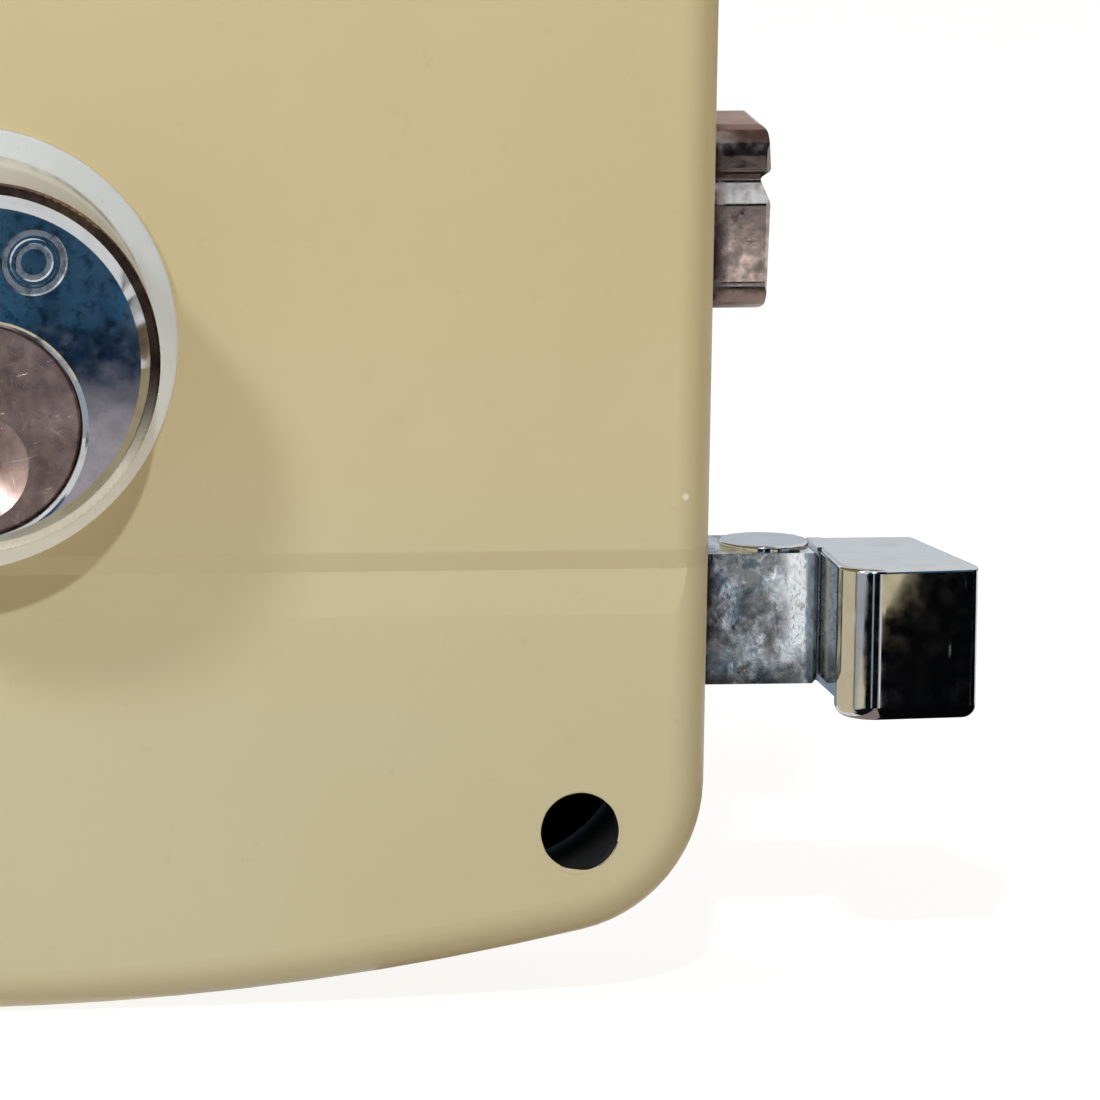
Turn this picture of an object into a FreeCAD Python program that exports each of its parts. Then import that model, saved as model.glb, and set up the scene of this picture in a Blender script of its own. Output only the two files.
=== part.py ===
import FreeCAD, Part
import math
import os
import re

from FreeCAD import Rotation, Vector

# Rim door lock, drawn as it stands on the door.
# X runs towards the bolts' throw, Z up, and Y from the room into the door.
# The origin is on the door's face, in line with the round inside cylinder.
# "Depth" below is a distance from the door's face towards the room, so it is minus Y.

doc = FreeCAD.newDocument("rim_lock")

sizes = {
    # case
    "case_width": 120.0,
    "case_half_height": 52.3,
    "belly_rise": 5.3,
    "corner_radius": 12.0,
    "case_depth": 28.0,
    "cover_wall": 1.5,
    "cover_edge_radius": 3.2,
    "plate_thickness": 2.0,
    "plate_gap": 0.2,
    # crease across the cover
    "crease_drop": 17.9,
    "crease_upper": 1.5,
    "crease_lower": 3.5,
    "crease_depth": 0.2,
    "crease_round": 5.0,
    # fixing to the door
    "fixing_inset_x": 10.2,
    "fixing_inset_z": 13.8,
    "fixing_bore": 5.2,
    "access_bore": 6.2,
    # posts that tie the cover to the plate
    "post_x": 32.0,
    "post_inset": 9.8,
    "post_diameter": 7.0,
    "cover_screw_diameter": 4.0,
    "cover_screw_head": 7.4,
    "cover_screw_reach": 13.0,
    "cover_screw_point": 0.8,
    "screw_slot_width": 1.0,
    "screw_slot_depth": 0.9,
    # round inside cylinder
    "cylinder_diameter": 27.3,
    "cylinder_stand": 10.7,
    "cylinder_gap": 2.5,
    "cylinder_bevel": 0.9,
    "collar_width": 3.8,
    "collar_line_inset": 2.1,
    "collar_line_depth": 1.0,
    "collar_rim": 0.6,
    "collar_round": 0.3,
    "collar_land": 0.7,
    "collar_spigot_wall": 1.2,
    "snap_ring_width": 0.8,
    "snap_ring_stand": 0.85,
    "snap_ring_seat": 0.3,
    "snap_ring_setback": 0.1,
    "snap_ring_round": 0.25,
    "snap_ring_opening": 2.0,
    "nut_wall": 4.2,
    "nut_thickness": 4.0,
    "nut_notch": 4.0,
    "nut_notch_depth": 1.8,
    "mark_x": 4.25,
    "mark_z": 8.4,
    "mark_diameter": 5.0,
    "mark_ring": 0.6,
    "mark_dimple": 2.8,
    "mark_depth": 0.15,
    "mark_bevel": 0.12,
    # plug with its keyway
    "plug_drop": 4.8,
    "plug_diameter": 16.2,
    "plug_head_step": 0.2,
    "plug_head_length": 1.6,
    "plug_recess": 0.8,
    "plug_neck_step": 1.1,
    "plug_tail": 1.5,
    "plug_bevel": 0.25,
    "plug_mouth_bevel": 0.3,
    "keyway_width": 2.4,
    "keyway_top": 2.2,
    "ward": 0.75,
    "ward_height": 1.2,
    "ward_slope": 0.5,
    "right_ward_drop": 3.8,
    "left_ward_drop": 1.4,
    "funnel_diameter": 8.5,
    "funnel_drop": 3.0,
    "funnel_depth": 1.7,
    "funnel_floor_diameter": 4.7,
    "clip_thickness": 0.8,
    "clip_seat": 0.6,
    "clip_stand": 2.0,
    "plug_clip_opening": 9.0,
    # pin stacks
    "pin_count": 5,
    "pin_pitch": 3.5,
    "first_pin_setback": 2.7,
    "pin_diameter": 2.8,
    "pin_clearance": 0.05,
    "key_pin_length": 7.0,
    "key_pin_tip": 0.9,
    "key_pin_taper": 0.6,
    "pin_bevel": 0.3,
    "driver_length": 4.2,
    "chamber_skin": 1.4,
    "driver_wire": 0.3,
    "driver_coils": 5.0,
    # drive hub: pinion, journal and dog
    "pinion_teeth": 8,
    "tooth_module": 0.8,
    "pressure_angle": 25.0,
    "profile_shift": 0.25,
    "rack_tip": 0.7,
    "rack_root": 0.85,
    "backlash": 0.12,
    "journal_diameter": 8.0,
    "hub_flange_diameter": 12.0,
    "hub_flange_thickness": 1.0,
    "dog_width": 2.6,
    "dog_length": 9.0,
    "dog_reach": 2.4,
    "tail_slot_width": 2.4,
    "tail_slot_length": 6.4,
    "tail_slot_depth": 5.0,
    # deadbolt
    "bolt_step": 0.5,
    "bolt_thickness": 9.0,
    "bolt_bottom": 0.35,
    "bolt_height": 14.5,
    "bolt_block_start": 30.0,
    "bolt_stand": 6.0,
    "bar_back": 8.5,
    "bar_thickness": 5.0,
    "bar_top": 8.0,
    "bar_end": 28.0,
    "groove_rise": 8.45,
    "groove_height": 2.7,
    "groove_apex_drop": 0.8,
    "groove_depth": 1.1,
    "bolt_top_round": 2.2,
    "bolt_bottom_round": 2.4,
    "bolt_back_round": 0.5,
    "lobe_setback": 0.25,
    "nose_notch": 0.75,
    "nose_bevel": 0.4,
    "nose_round": 0.7,
    "lug_bottom": 1.6,
    "lug_top": 5.5,
    "lug_length": 3.5,
    # latch slide and tongue
    "latch_drop": 24.6,
    "latch_height": 10.3,
    "latch_back": 3.7,
    "latch_thickness": 8.8,
    "latch_block_start": 22.0,
    "latch_stand": 11.25,
    "slide_gap": 0.6,
    "slide_thickness": 5.5,
    "slide_end": 21.0,
    "latch_travel": 18.0,
    "neck_length": 0.2,
    "heel_step": 6.0,
    "head_width": 11.1,
    "head_back_width": 8.2,
    "head_setback": 5.8,
    "head_lean": 1.2,
    "tongue_step": 2.7,
    "head_rise": 0.2,
    "head_sink": 1.5,
    "neck_thickness": 4.7,
    "head_bottom_round": 1.1,
    "head_top_round": 0.35,
    "head_corner_round": 3.0,
    "head_edge_round": 1.0,
    "slide_bevel": 0.4,
    "tenon_length": 7.6,
    "tenon_height": 4.9,
    "latch_pin_setback": 3.8,
    "latch_pin_diameter": 2.8,
    "latch_pin_head": 7.1,
    "latch_pin_head_height": 0.5,
    "latch_pin_groove": 0.4,
    "latch_pin_end": 0.35,
    "latch_clip_thickness": 0.6,
    "latch_clip_opening": 2.0,
    "latch_clip_side": 1.0,
    "latch_clip_end": 0.8,
    "latch_clip_room": 0.7,
    "latch_clip_recess": 1.2,
    # retracting lever
    "lever_x": 24.0,
    "lever_z": 7.5,
    "lever_lift": 2.2,
    "lever_thickness": 2.0,
    "lever_half_width": 4.2,
    "lever_journal": 5.0,
    "lever_seat": 9.0,
    "lever_clip_thickness": 0.6,
    "lever_clip_groove": 0.5,
    "lever_clip_stand": 1.6,
    "lever_clip_opening": 3.0,
    "boss_diameter": 4.0,
    "boss_clearance": 0.15,
    # latch spring
    "rod_diameter": 3.4,
    "rod_entry": 3.0,
    "spring_wire": 0.8,
    "spring_diameter": 6.0,
    "spring_coils": 10.0,
    "stop_inset": 7.0,
    "stop_thickness": 2.0,
    "stop_stand": 5.0,
    "rod_head": 5.8,
    "rod_head_height": 1.0,
    # guides
    "guide_thickness": 2.0,
    "front_guide_inset": 4.6,
    "inner_guide_x": 26.4,
    "guide_gap": 0.15,
    "guide_margin": 3.0,
    "foot_thickness": 1.5,
    "foot_length": 9.4,
    "foot_top": 2.0,
    "foot_bottom": 17.0,
    "rivet_diameter": 3.6,
    "rivet_head": 6.0,
    "rivet_head_height": 0.8,
    "thrust_post_x": 5.0,
    "thrust_post_diameter": 6.0,
    # friction spring
    "leaf_thickness": 0.5,
    "leaf_touch_x": 15.0,
    "leaf_lip": 3.2,
    "leaf_lip_rise": 1.8,
    "leaf_bend": 1.0,
    "leaf_post_x": 1.5,
    "leaf_post_z": 16.75,
    "leaf_post_diameter": 6.0,
    # clearances
    "running_fit": 0.05,
    "window_gap": 0.5,
    "seat_gap": 0.1,
    "press_gap": 0.02,
    "cut_skin": 0.005,
    "edge_break": 0.4,
}

# What follows from the sizes above
derived = {
    "corner_height": "case_half_height - corner_radius - belly_rise",
    "fixing_x": "case_width / 2 - fixing_inset_x",
    "fixing_z": "case_half_height - fixing_inset_z",
    "post_z": "case_half_height - post_inset",
    "cylinder_front": "case_depth + cylinder_stand",
    "cylinder_back": "bar_back + bar_thickness + cylinder_gap",
    "collar_diameter": "cylinder_diameter + 2 * collar_width",
    "collar_line_diameter": "collar_diameter - 2 * collar_line_inset",
    "nut_diameter": "cylinder_diameter + 2 * nut_wall",
    "plug_head_diameter": "plug_diameter + 2 * plug_head_step",
    "plug_neck_diameter": "plug_diameter - 2 * plug_neck_step",
    "first_pin_depth": "cylinder_back + first_pin_setback",
    "pinion_tip_radius": "(pinion_teeth / 2 + 1) * tooth_module",
    "pinion_root_radius": "(pinion_teeth / 2 - 1) * tooth_module",
    "bolt_back": "bar_back - bolt_step",
    "bolt_nose": "case_width / 2 + bolt_stand",
    "groove_bottom": "bolt_bottom + groove_rise",
    "groove_top": "groove_bottom + groove_height",
    "lever_back": "plate_thickness + lever_lift",
    "slide_back": "lever_back + lever_thickness + slide_gap",
    "boss_x": "lever_x - latch_travel / 2",
    "latch_block_end": "case_width / 2 + latch_stand",
    "head_front": "case_depth - head_setback",
    "head_left": "latch_block_end + neck_length",
    "head_right": "head_left + head_width",
    "head_back_right": "head_left + head_back_width",
    "head_back": "latch_back + tongue_step",
    "neck_front": "head_back + neck_thickness",
    "heel_front": "latch_back + latch_thickness + heel_step",
    "head_top": "latch_drop - latch_height / 2 - head_rise",
    "head_bottom": "latch_drop + latch_height / 2 + head_sink",
    "latch_pin_x": "latch_block_end - latch_pin_setback",
    "latch_pin_depth": "(head_back + neck_front) / 2",
    "rod_tip": "slide_end - rod_entry",
    "stop_x": "case_width / 2 - stop_inset",
    "front_guide_x": "case_width / 2 - front_guide_inset",
}

sheet = doc.addObject("Spreadsheet::Sheet", "sizes")
for row, (name, value) in enumerate(sizes.items(), start=1):
    sheet.set(f"A{row}", name)
    sheet.set(f"B{row}", str(value))
    sheet.setAlias(f"B{row}", name)
doc.recompute()
for row, (name, formula) in enumerate(derived.items(), start=len(sizes) + 1):
    sheet.set(f"A{row}", name)
    sheet.set(f"B{row}", "=" + formula)
    sheet.setAlias(f"B{row}", name)
    doc.recompute()


def size(name):
    return float(getattr(sheet, name))


def bound(expression):
    """Expression on the sheet: each size name gets the sheet's prefix."""
    return re.sub(r"[a-z_]+", lambda word: f"sizes.{word[0]}", expression)


# Sketch outlines

def line_loop(points):
    corners = [Vector(x, z, 0) for x, z in points]
    return [Part.LineSegment(a, b) for a, b in zip(corners, corners[1:] + corners[:1])]


def rectangle(x0, z0, x1, z1):
    return line_loop([(x0, z0), (x1, z0), (x1, z1), (x0, z1)])


def circle(x, z, radius):
    return [Part.Circle(Vector(x, z, 0), Vector(0, 0, 1), radius)]


def arc(x, z, radius, start, end):
    whole = Part.Circle(Vector(x, z, 0), Vector(0, 0, 1), radius)
    return Part.ArcOfCircle(whole, start, end)


def rounded_loop(corners):
    """Closed outline through corners (x, z, radius), each rounded by its radius."""
    bends = []
    for i, (x, z, radius) in enumerate(corners):
        before = corners[i - 1]
        after = corners[(i + 1) % len(corners)]
        corner = Vector(x, z, 0)
        into = (corner - Vector(before[0], before[1], 0)).normalize()
        out = (Vector(after[0], after[1], 0) - corner).normalize()
        turn = math.atan2(into.x * out.y - into.y * out.x, into.dot(out))
        setback = radius * math.tan(abs(turn) / 2)
        side = math.copysign(radius, turn)
        start = corner - into * setback
        centre = start + Vector(-into.y, into.x, 0) * side
        bends.append((start, corner, corner + out * setback, centre, radius))
    edges = []
    for i, (start, corner, end, centre, radius) in enumerate(bends):
        if radius > 0:
            middle = centre + (corner - centre).normalize() * radius
            edges.append(Part.Arc(start, middle, end))
        following = bends[(i + 1) % len(bends)][0]
        if end.distanceToPoint(following) > 1e-6:
            edges.append(Part.LineSegment(end, following))
    return edges


def case_outline(inset):
    """Case seen from the room: straight sides, round corners, shallow bellies."""
    corner_z = size("corner_height")
    corner_x = size("case_width") / 2 - size("corner_radius")
    rise = size("case_half_height") - corner_z
    radius = size("corner_radius") - inset
    belly = corner_x ** 2 + rise ** 2 - size("corner_radius") ** 2
    belly = belly / (2 * (rise - size("corner_radius")))
    belly_z = belly - size("case_half_height")
    tip = math.atan2(rise - belly, corner_x)
    half = size("case_width") / 2 - inset
    lines = [
        Part.LineSegment(Vector(half, -corner_z, 0), Vector(half, corner_z, 0)),
        Part.LineSegment(Vector(-half, corner_z, 0), Vector(-half, -corner_z, 0)),
    ]
    corners = [
        arc(corner_x, -corner_z, radius, tip, 0),
        arc(corner_x, corner_z, radius, 0, -tip),
        arc(-corner_x, corner_z, radius, math.pi + tip, math.pi),
        arc(-corner_x, -corner_z, radius, math.pi, math.pi - tip),
    ]
    bellies = [
        arc(0, belly_z, belly - inset, -math.pi - tip, tip),
        arc(0, -belly_z, belly - inset, -tip, math.pi + tip),
    ]
    return lines + corners + bellies


# Bodies and features

def new_body(label):
    body = doc.addObject("PartDesign::Body", label)
    body.Label = label
    return body


def place(body, x="0", y="0", z="0"):
    for axis, text in (("x", x), ("y", y), ("z", z)):
        body.setExpression(f"Placement.Base.{axis}", bound(text))


def sketch_on(body, name, role, edges, start):
    sketch = body.newObject("Sketcher::SketchObject", f"{body.Name}_{name}_sketch")
    plane = next(f for f in body.Origin.OriginFeatures if f.Role == role)
    sketch.AttachmentSupport = [(plane, "")]
    sketch.MapMode = "FlatFace"
    sketch.setExpression("AttachmentOffset.Base.z", bound(start))
    sketch.addGeometry(edges, False)
    return sketch


def extrude(body, kind, name, role, edges, start, length):
    """Pad or Pocket from start to start + length along the plane's own normal."""
    sketch = sketch_on(body, name, role, edges, start)
    feature = body.newObject(f"PartDesign::{kind}", f"{body.Name}_{name}")
    feature.Profile = sketch
    feature.setExpression("Length", bound(length))
    feature.Reversed = kind == "Pocket"
    body.Tip = feature
    doc.recompute()
    return feature


def pad(body, name, edges, start, length, role="XZ_Plane"):
    return extrude(body, "Pad", name, role, edges, start, length)


def pocket(body, name, edges, start, length, role="XZ_Plane"):
    before = body.Shape.Volume
    feature = extrude(body, "Pocket", name, role, edges, start, length)
    if body.Shape.Volume > before - 1e-4:
        raise RuntimeError(f"{body.Name} {name} cuts nothing")
    return feature


def revolve(body, kind, name, edges):
    """Revolution or Groove about the body's own Y axis, drawn on its YZ plane."""
    sketch = sketch_on(body, name, "YZ_Plane", edges, "0")
    feature = body.newObject(f"PartDesign::{kind}", f"{body.Name}_{name}")
    feature.Profile = sketch
    feature.ReferenceAxis = (sketch, ["H_Axis"])
    feature.Angle = 360
    body.Tip = feature
    doc.recompute()
    return feature


def dress(body, kind, name, picked, radius):
    """Fillet or Chamfer on the edges of the body's last feature that picked() names."""
    base = body.Tip
    names = [f"Edge{i}" for i, edge in enumerate(base.Shape.Edges, start=1) if picked(edge)]
    feature = body.newObject(f"PartDesign::{kind}", f"{body.Name}_{name}")
    feature.Base = (base, names)
    feature.setExpression("Radius" if kind == "Fillet" else "Size", bound(radius))
    body.Tip = feature
    doc.recompute()
    return feature


def at_depth(edge, depth):
    box = edge.BoundBox
    return abs(box.YMin + depth) < 1e-4 and abs(box.YMax + depth) < 1e-4


def at_height(edge, z):
    box = edge.BoundBox
    return abs(box.ZMin - z) < 1e-4 and abs(box.ZMax - z) < 1e-4


def ring(label, outer, inner, start, length, gap=0.0):
    """Flat ring or, with a gap, a C clip, about the body's own Y axis."""
    body = new_body(label)
    pad(body, "ring", circle(0, 0, outer) + circle(0, 0, inner), start, length)
    if gap > 0:
        pocket(body, "gap", rectangle(-gap / 2, -outer - 1, gap / 2, 0), start, length)
    return body


def group(label, members):
    compound = doc.addObject("Part::Compound", label)
    compound.Label = label
    compound.Links = members
    doc.recompute()
    return compound


nodes = []


# Places that several pieces share

fixing_places = [
    (sx * size("fixing_x"), sz * size("fixing_z")) for sx in (-1, 1) for sz in (-1, 1)
]
post_places = [
    (sx * size("post_x"), sz * size("post_z")) for sx in (-1, 1) for sz in (-1, 1)
]
foot_rivet_z = [
    -size("foot_top") - size("rivet_head") / 2,
    -size("foot_bottom") + size("rivet_head") / 2,
]
latch_bottom = -size("latch_drop") - size("latch_height") / 2
latch_top = -size("latch_drop") + size("latch_height") / 2
front_rivet_x = size("front_guide_x") - size("foot_length") / 2
inner_rivet_x = size("inner_guide_x") + size("guide_thickness") + size("foot_length") / 2
stop_rivet_x = -size("stop_x") + size("foot_length") / 2
stop_rivet_reach = size("rivet_head") / 2 + 2 * size("seat_gap")
stop_rivet_z = [-size("latch_drop") - stop_rivet_reach, -size("latch_drop") + stop_rivet_reach]
rivet_places = [(front_rivet_x, z) for z in foot_rivet_z]
rivet_places += [(inner_rivet_x, z) for z in foot_rivet_z]
rivet_places += [(stop_rivet_x, z) for z in stop_rivet_z]
thrust_post_z = size("bar_top") + size("thrust_post_diameter") / 2 + size("running_fit")
stud_radius = size("rivet_diameter") / 2
stud_places = [
    (-size("thrust_post_x"), thrust_post_z),
    (-size("lever_x"), size("lever_z")),
    (size("leaf_post_x"), size("leaf_post_z")),
]
bolt_top = size("bolt_bottom") + size("bolt_height")
pitch = math.pi * size("tooth_module")
roll_radius = size("tooth_module") * size("pinion_teeth") / 2
throw = 2 * math.pi * roll_radius
rack_line = -size("plug_drop") + roll_radius + size("profile_shift") * size("tooth_module")
bar_bottom = rack_line + size("rack_root")
lever_reach = size("lever_z") + size("latch_drop")
lever_tilt = math.atan(size("latch_travel") / 2 / lever_reach)


def deadbolt_window(gap):
    """Opening round the deadbolt's block, drawn on the YZ plane."""
    front = -size("bolt_back") - size("bolt_thickness") - gap
    back = -size("bolt_back") + gap
    low = size("bolt_bottom") - gap
    high = bolt_top + gap
    soft = size("edge_break")
    return rounded_loop([(back, low, soft), (back, high, soft), (front, high, soft),
                         (front, low, soft)])


def latch_window(gap):
    """Opening that lets the whole latch head in, drawn on the YZ plane."""
    front = -size("head_front") - gap
    back = -size("latch_back") + 3 * size("seat_gap")
    low = -size("head_bottom") - gap
    high = -size("head_top") + size("latch_pin_head_height") + gap
    soft = size("edge_break")
    return rounded_loop([(back, low, soft), (back, high, soft), (front, high, soft),
                         (front, low, soft)])


# Painted cover

def make_case_cover():
    body = new_body("case_cover")
    depth = size("case_depth")
    inner = depth - size("cover_wall")
    pad(body, "outside", case_outline(0), "0", "case_depth")
    dress(body, "Fillet", "edge", lambda e: at_depth(e, depth), "cover_edge_radius")
    pocket(body, "inside", case_outline(size("cover_wall")), "0", "case_depth - cover_wall")
    dress(body, "Fillet", "inner_edge",
          lambda e: at_depth(e, inner), "cover_edge_radius - cover_wall")
    crease = -size("crease_drop")
    skin = size("cut_skin")
    valley = rounded_loop([
        (-depth - 1, crease + 2 * size("crease_upper"), 0),
        (-depth - skin, crease + 2 * size("crease_upper"), 0),
        (-depth - skin, crease + size("crease_upper"), size("crease_round")),
        (-depth + size("crease_depth"), crease, 0),
        (-depth, crease - size("crease_lower"), 0),
        (-depth - 1, crease - size("crease_lower"), 0),
    ])
    pocket(body, "crease", valley, "-case_width / 2", "case_width", "YZ_Plane")
    spigot = size("cylinder_diameter") / 2 + size("seat_gap") + size("collar_spigot_wall")
    pocket(body, "cylinder_hole", circle(0, 0, spigot + size("seat_gap")),
           "case_depth - 2 * cover_wall", "3 * cover_wall")
    holes = []
    for x, z in fixing_places:
        holes += circle(x, z, size("access_bore") / 2)
    pocket(body, "access_holes", holes, "case_depth - 2 * cover_wall", "3 * cover_wall")
    for name, outline in (("deadbolt_slot", deadbolt_window(size("window_gap"))),
                          ("latch_slot", latch_window(size("window_gap")))):
        pocket(body, name, outline, "case_width / 2 - 2 * cover_wall", "3 * cover_wall",
               "YZ_Plane")
    place(body)
    nodes.append(body)


# Steel plate against the door

def make_back_plate():
    body = new_body("back_plate")
    inset = size("cover_wall") + size("plate_gap")
    pad(body, "sheet", case_outline(inset), "0", "plate_thickness")
    holes = []
    for x, z in fixing_places:
        holes += circle(x, z, size("fixing_bore") / 2)
    for x, z in rivet_places + stud_places:
        holes += circle(x, z, stud_radius + size("running_fit"))
    for x, z in post_places:
        holes += circle(x, z, size("cover_screw_diameter") / 2 + size("seat_gap"))
    holes += circle(0, -size("plug_drop"), size("journal_diameter") / 2 + size("running_fit"))
    pocket(body, "holes", holes, "0", "plate_thickness")
    screw_radius = size("cover_screw_diameter") / 2 + size("seat_gap")
    dress(body, "Chamfer", "countersinks",
          lambda e: at_depth(e, 0) and abs(e.BoundBox.XLength - 2 * screw_radius) < 1e-3,
          "(cover_screw_head - cover_screw_diameter) / 2")
    place(body)
    nodes.append(body)


# Posts and screws that hold the cover

def make_cover_fixings():
    posts = []
    screws = []
    for i, (x, z) in enumerate(post_places, start=1):
        post = new_body(f"cover_post_{i}")
        pad(post, "stem", circle(0, 0, size("post_diameter") / 2),
            "plate_thickness", "case_depth - cover_wall - plate_thickness")
        pocket(post, "bore", circle(0, 0, size("cover_screw_diameter") / 2 + size("running_fit")),
               "plate_thickness", "cover_screw_reach")
        post.Placement.Base = Vector(x, 0, z)
        posts.append(post)
        screw = new_body(f"cover_screw_{i}")
        shank = size("cover_screw_diameter") / 2
        head = size("cover_screw_head") / 2 - size("seat_gap")
        tip = size("cover_screw_reach")
        sunk = size("seat_gap")
        point = size("cover_screw_point")
        profile = [(-sunk, 0), (-sunk, head), (-sunk - head + shank, shank),
                   (-tip + point, shank), (-tip, shank - point), (-tip, 0)]
        revolve(screw, "Revolution", "turned", line_loop(profile))
        half = size("screw_slot_width") / 2
        pocket(screw, "slot", rectangle(-head, -half, head, half), "0", "screw_slot_depth")
        screw.Placement.Base = Vector(x, 0, z)
        screws.append(screw)
    nodes.append(group("cover_posts", posts))
    nodes.append(group("cover_screws", screws))


# Round inside cylinder with its collar, ring and nut

def make_cylinder_body():
    body = new_body("cylinder_body")
    radius = size("cylinder_diameter") / 2
    front = size("cylinder_front")
    back = size("cylinder_back")
    pad(body, "barrel", circle(0, 0, radius), "cylinder_back", "cylinder_front - cylinder_back")
    dress(body, "Chamfer", "front_bevel", lambda e: at_depth(e, front), "cylinder_bevel")
    bore = size("plug_diameter") / 2 + size("running_fit")
    pocket(body, "plug_bore", circle(0, -size("plug_drop"), bore),
           "cylinder_back", "cylinder_front - cylinder_back")
    head = size("plug_head_diameter") / 2 + size("running_fit")
    pocket(body, "head_bore", circle(0, -size("plug_drop"), head),
           "cylinder_front - plug_recess - plug_head_length", "plug_recess + plug_head_length + 1")
    dress(body, "Chamfer", "plug_mouth",
          lambda e: at_depth(e, front) and e.BoundBox.XMax < head + size("cut_skin"),
          "plug_mouth_bevel")
    chambers = []
    for i in range(int(size("pin_count"))):
        y = -size("first_pin_depth") - i * size("pin_pitch")
        chambers += circle(0, y, size("pin_diameter") / 2 + size("pin_clearance"))
    pocket(body, "pin_chambers", chambers, "0", "cylinder_diameter / 2 - chamber_skin",
           "XY_Plane")
    seat = front - size("cylinder_bevel") - size("snap_ring_width") - size("snap_ring_setback")
    groove = rectangle(-seat - size("snap_ring_width"), radius - size("snap_ring_seat"),
                       -seat, radius + 1)
    revolve(body, "Groove", "ring_groove", groove)
    rings = []
    for width in (size("mark_diameter"), size("mark_diameter") - 2 * size("mark_ring"),
                  size("mark_dimple")):
        rings += circle(size("mark_x"), size("mark_z"), width / 2)
    pocket(body, "mark", rings, "cylinder_front - mark_depth", "1")
    dress(body, "Chamfer", "mark_edges",
          lambda e: at_depth(e, front)
          and e.BoundBox.XLength < size("mark_diameter") + size("cut_skin"), "mark_bevel")
    place(body)
    nodes.append(body)
    clip = new_body("cylinder_snap_ring")
    inner = radius - size("snap_ring_seat") + size("press_gap")
    outer = radius + size("snap_ring_stand")
    ring_front = -seat - size("snap_ring_width") + size("press_gap")
    section = rounded_loop([
        (ring_front, inner, 0),
        (ring_front, outer, size("snap_ring_round")),
        (-seat, outer, size("snap_ring_round")),
        (-seat, inner, 0),
    ])
    revolve(clip, "Revolution", "wire", section)
    half = size("snap_ring_opening") / 2
    pocket(clip, "gap", rectangle(-half, -outer - 1, half, 0), "cylinder_back", "cylinder_front")
    place(clip)
    nodes.append(clip)
    return seat


def make_collar(seat):
    body = new_body("cylinder_collar")
    face = size("case_depth")
    inner = size("cylinder_diameter") / 2 + size("seat_gap")
    spigot = inner + size("collar_spigot_wall")
    outer = size("collar_diameter") / 2
    line = size("collar_line_diameter") / 2
    top = inner + size("collar_land")
    section = rounded_loop([
        (-face + size("cover_wall"), inner, 0),
        (-face + size("cover_wall"), spigot, 0),
        (-face, spigot, 0),
        (-face, outer, 0),
        (-face - size("collar_rim"), outer, size("collar_round")),
        (-face - size("collar_line_depth"), line, size("collar_round")),
        (-seat, top, size("collar_round") / 2),
        (-seat, inner, 0),
    ])
    revolve(body, "Revolution", "turned", section)
    place(body)
    nodes.append(body)


def make_nut():
    body = new_body("cylinder_nut")
    inner = size("cylinder_diameter") / 2 + size("running_fit")
    outer = size("nut_diameter") / 2
    pad(body, "ring", circle(0, 0, outer) + circle(0, 0, inner),
        "case_depth - cover_wall - nut_thickness", "nut_thickness")
    half = size("nut_notch") / 2
    notches = []
    for turn in range(4):
        spin = Rotation(Vector(0, 0, 1), 45 + 90 * turn)
        floor = outer - size("nut_notch_depth")
        corners = [(floor, -half), (outer + 1, -half), (outer + 1, half), (floor, half)]
        turned = [spin.multVec(Vector(x, z, 0)) for x, z in corners]
        notches += line_loop([(v.x, v.y) for v in turned])
    pocket(body, "notches", notches, "case_depth - cover_wall - nut_thickness", "nut_thickness")
    place(body)
    nodes.append(body)


# Plug and its retaining clip

def make_plug():
    body = new_body("cylinder_plug")
    front = size("cylinder_front") - size("plug_recess")
    back = size("cylinder_back")
    radius = size("plug_diameter") / 2
    neck = size("plug_neck_diameter") / 2
    clip_front = back - size("seat_gap") / 2
    clip_back = clip_front - size("clip_thickness") - size("running_fit")
    head_back = front - size("plug_head_length") + size("press_gap")
    head = size("plug_head_diameter") / 2
    bevel = size("plug_bevel")
    profile = [
        (-back + size("plug_tail"), 0),
        (-back + size("plug_tail"), neck),
        (-clip_back, neck),
        (-clip_back, neck - size("clip_seat")),
        (-clip_front, neck - size("clip_seat")),
        (-clip_front, radius),
        (-head_back, radius),
        (-head_back, head),
        (-front + bevel, head),
        (-front, head - bevel),
        (-front, 0),
    ]
    revolve(body, "Revolution", "turned", line_loop(profile))
    new_funnel(body, front)
    half = size("keyway_width") / 2
    low = -head - 1
    top = size("keyway_top")
    right = half - size("ward")
    left = -half + size("ward")
    flat = size("ward_height") / 2
    foot = flat + size("ward_slope")
    right_z = -size("right_ward_drop")
    left_z = -size("left_ward_drop")
    keyway = [(-half, low), (half, low), (half, right_z - foot), (right, right_z - flat),
              (right, right_z + flat), (half, right_z + foot), (half, top), (-half, top),
              (-half, left_z + foot), (left, left_z + flat), (left, left_z - flat),
              (-half, left_z - foot)]
    pocket(body, "keyway", line_loop(keyway), "cylinder_back - plug_tail + dog_reach + seat_gap",
           "cylinder_front")
    chambers = []
    for i in range(int(size("pin_count"))):
        y = -size("first_pin_depth") - i * size("pin_pitch")
        chambers += circle(0, y, size("pin_diameter") / 2 + size("pin_clearance"))
    pocket(body, "pin_chambers", chambers, "plug_diameter / 2 - pin_clearance - key_pin_length",
           "key_pin_length + 1", "XY_Plane")
    dog = size("dog_width") / 2 + size("seat_gap") / 2
    reach = size("dog_length") / 2 + size("seat_gap")
    pocket(body, "dog_slot", rectangle(-dog, -reach, dog, reach),
           "cylinder_back - plug_tail", "dog_reach + seat_gap")
    place(body, z="-plug_drop")
    nodes.append(body)
    clip = ring("plug_clip", neck + size("clip_stand"),
                neck - size("clip_seat") + size("press_gap"),
                "cylinder_back - seat_gap / 2 - clip_thickness", "clip_thickness",
                size("plug_clip_opening"))
    place(clip, z="-plug_drop")
    nodes.append(clip)


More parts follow.
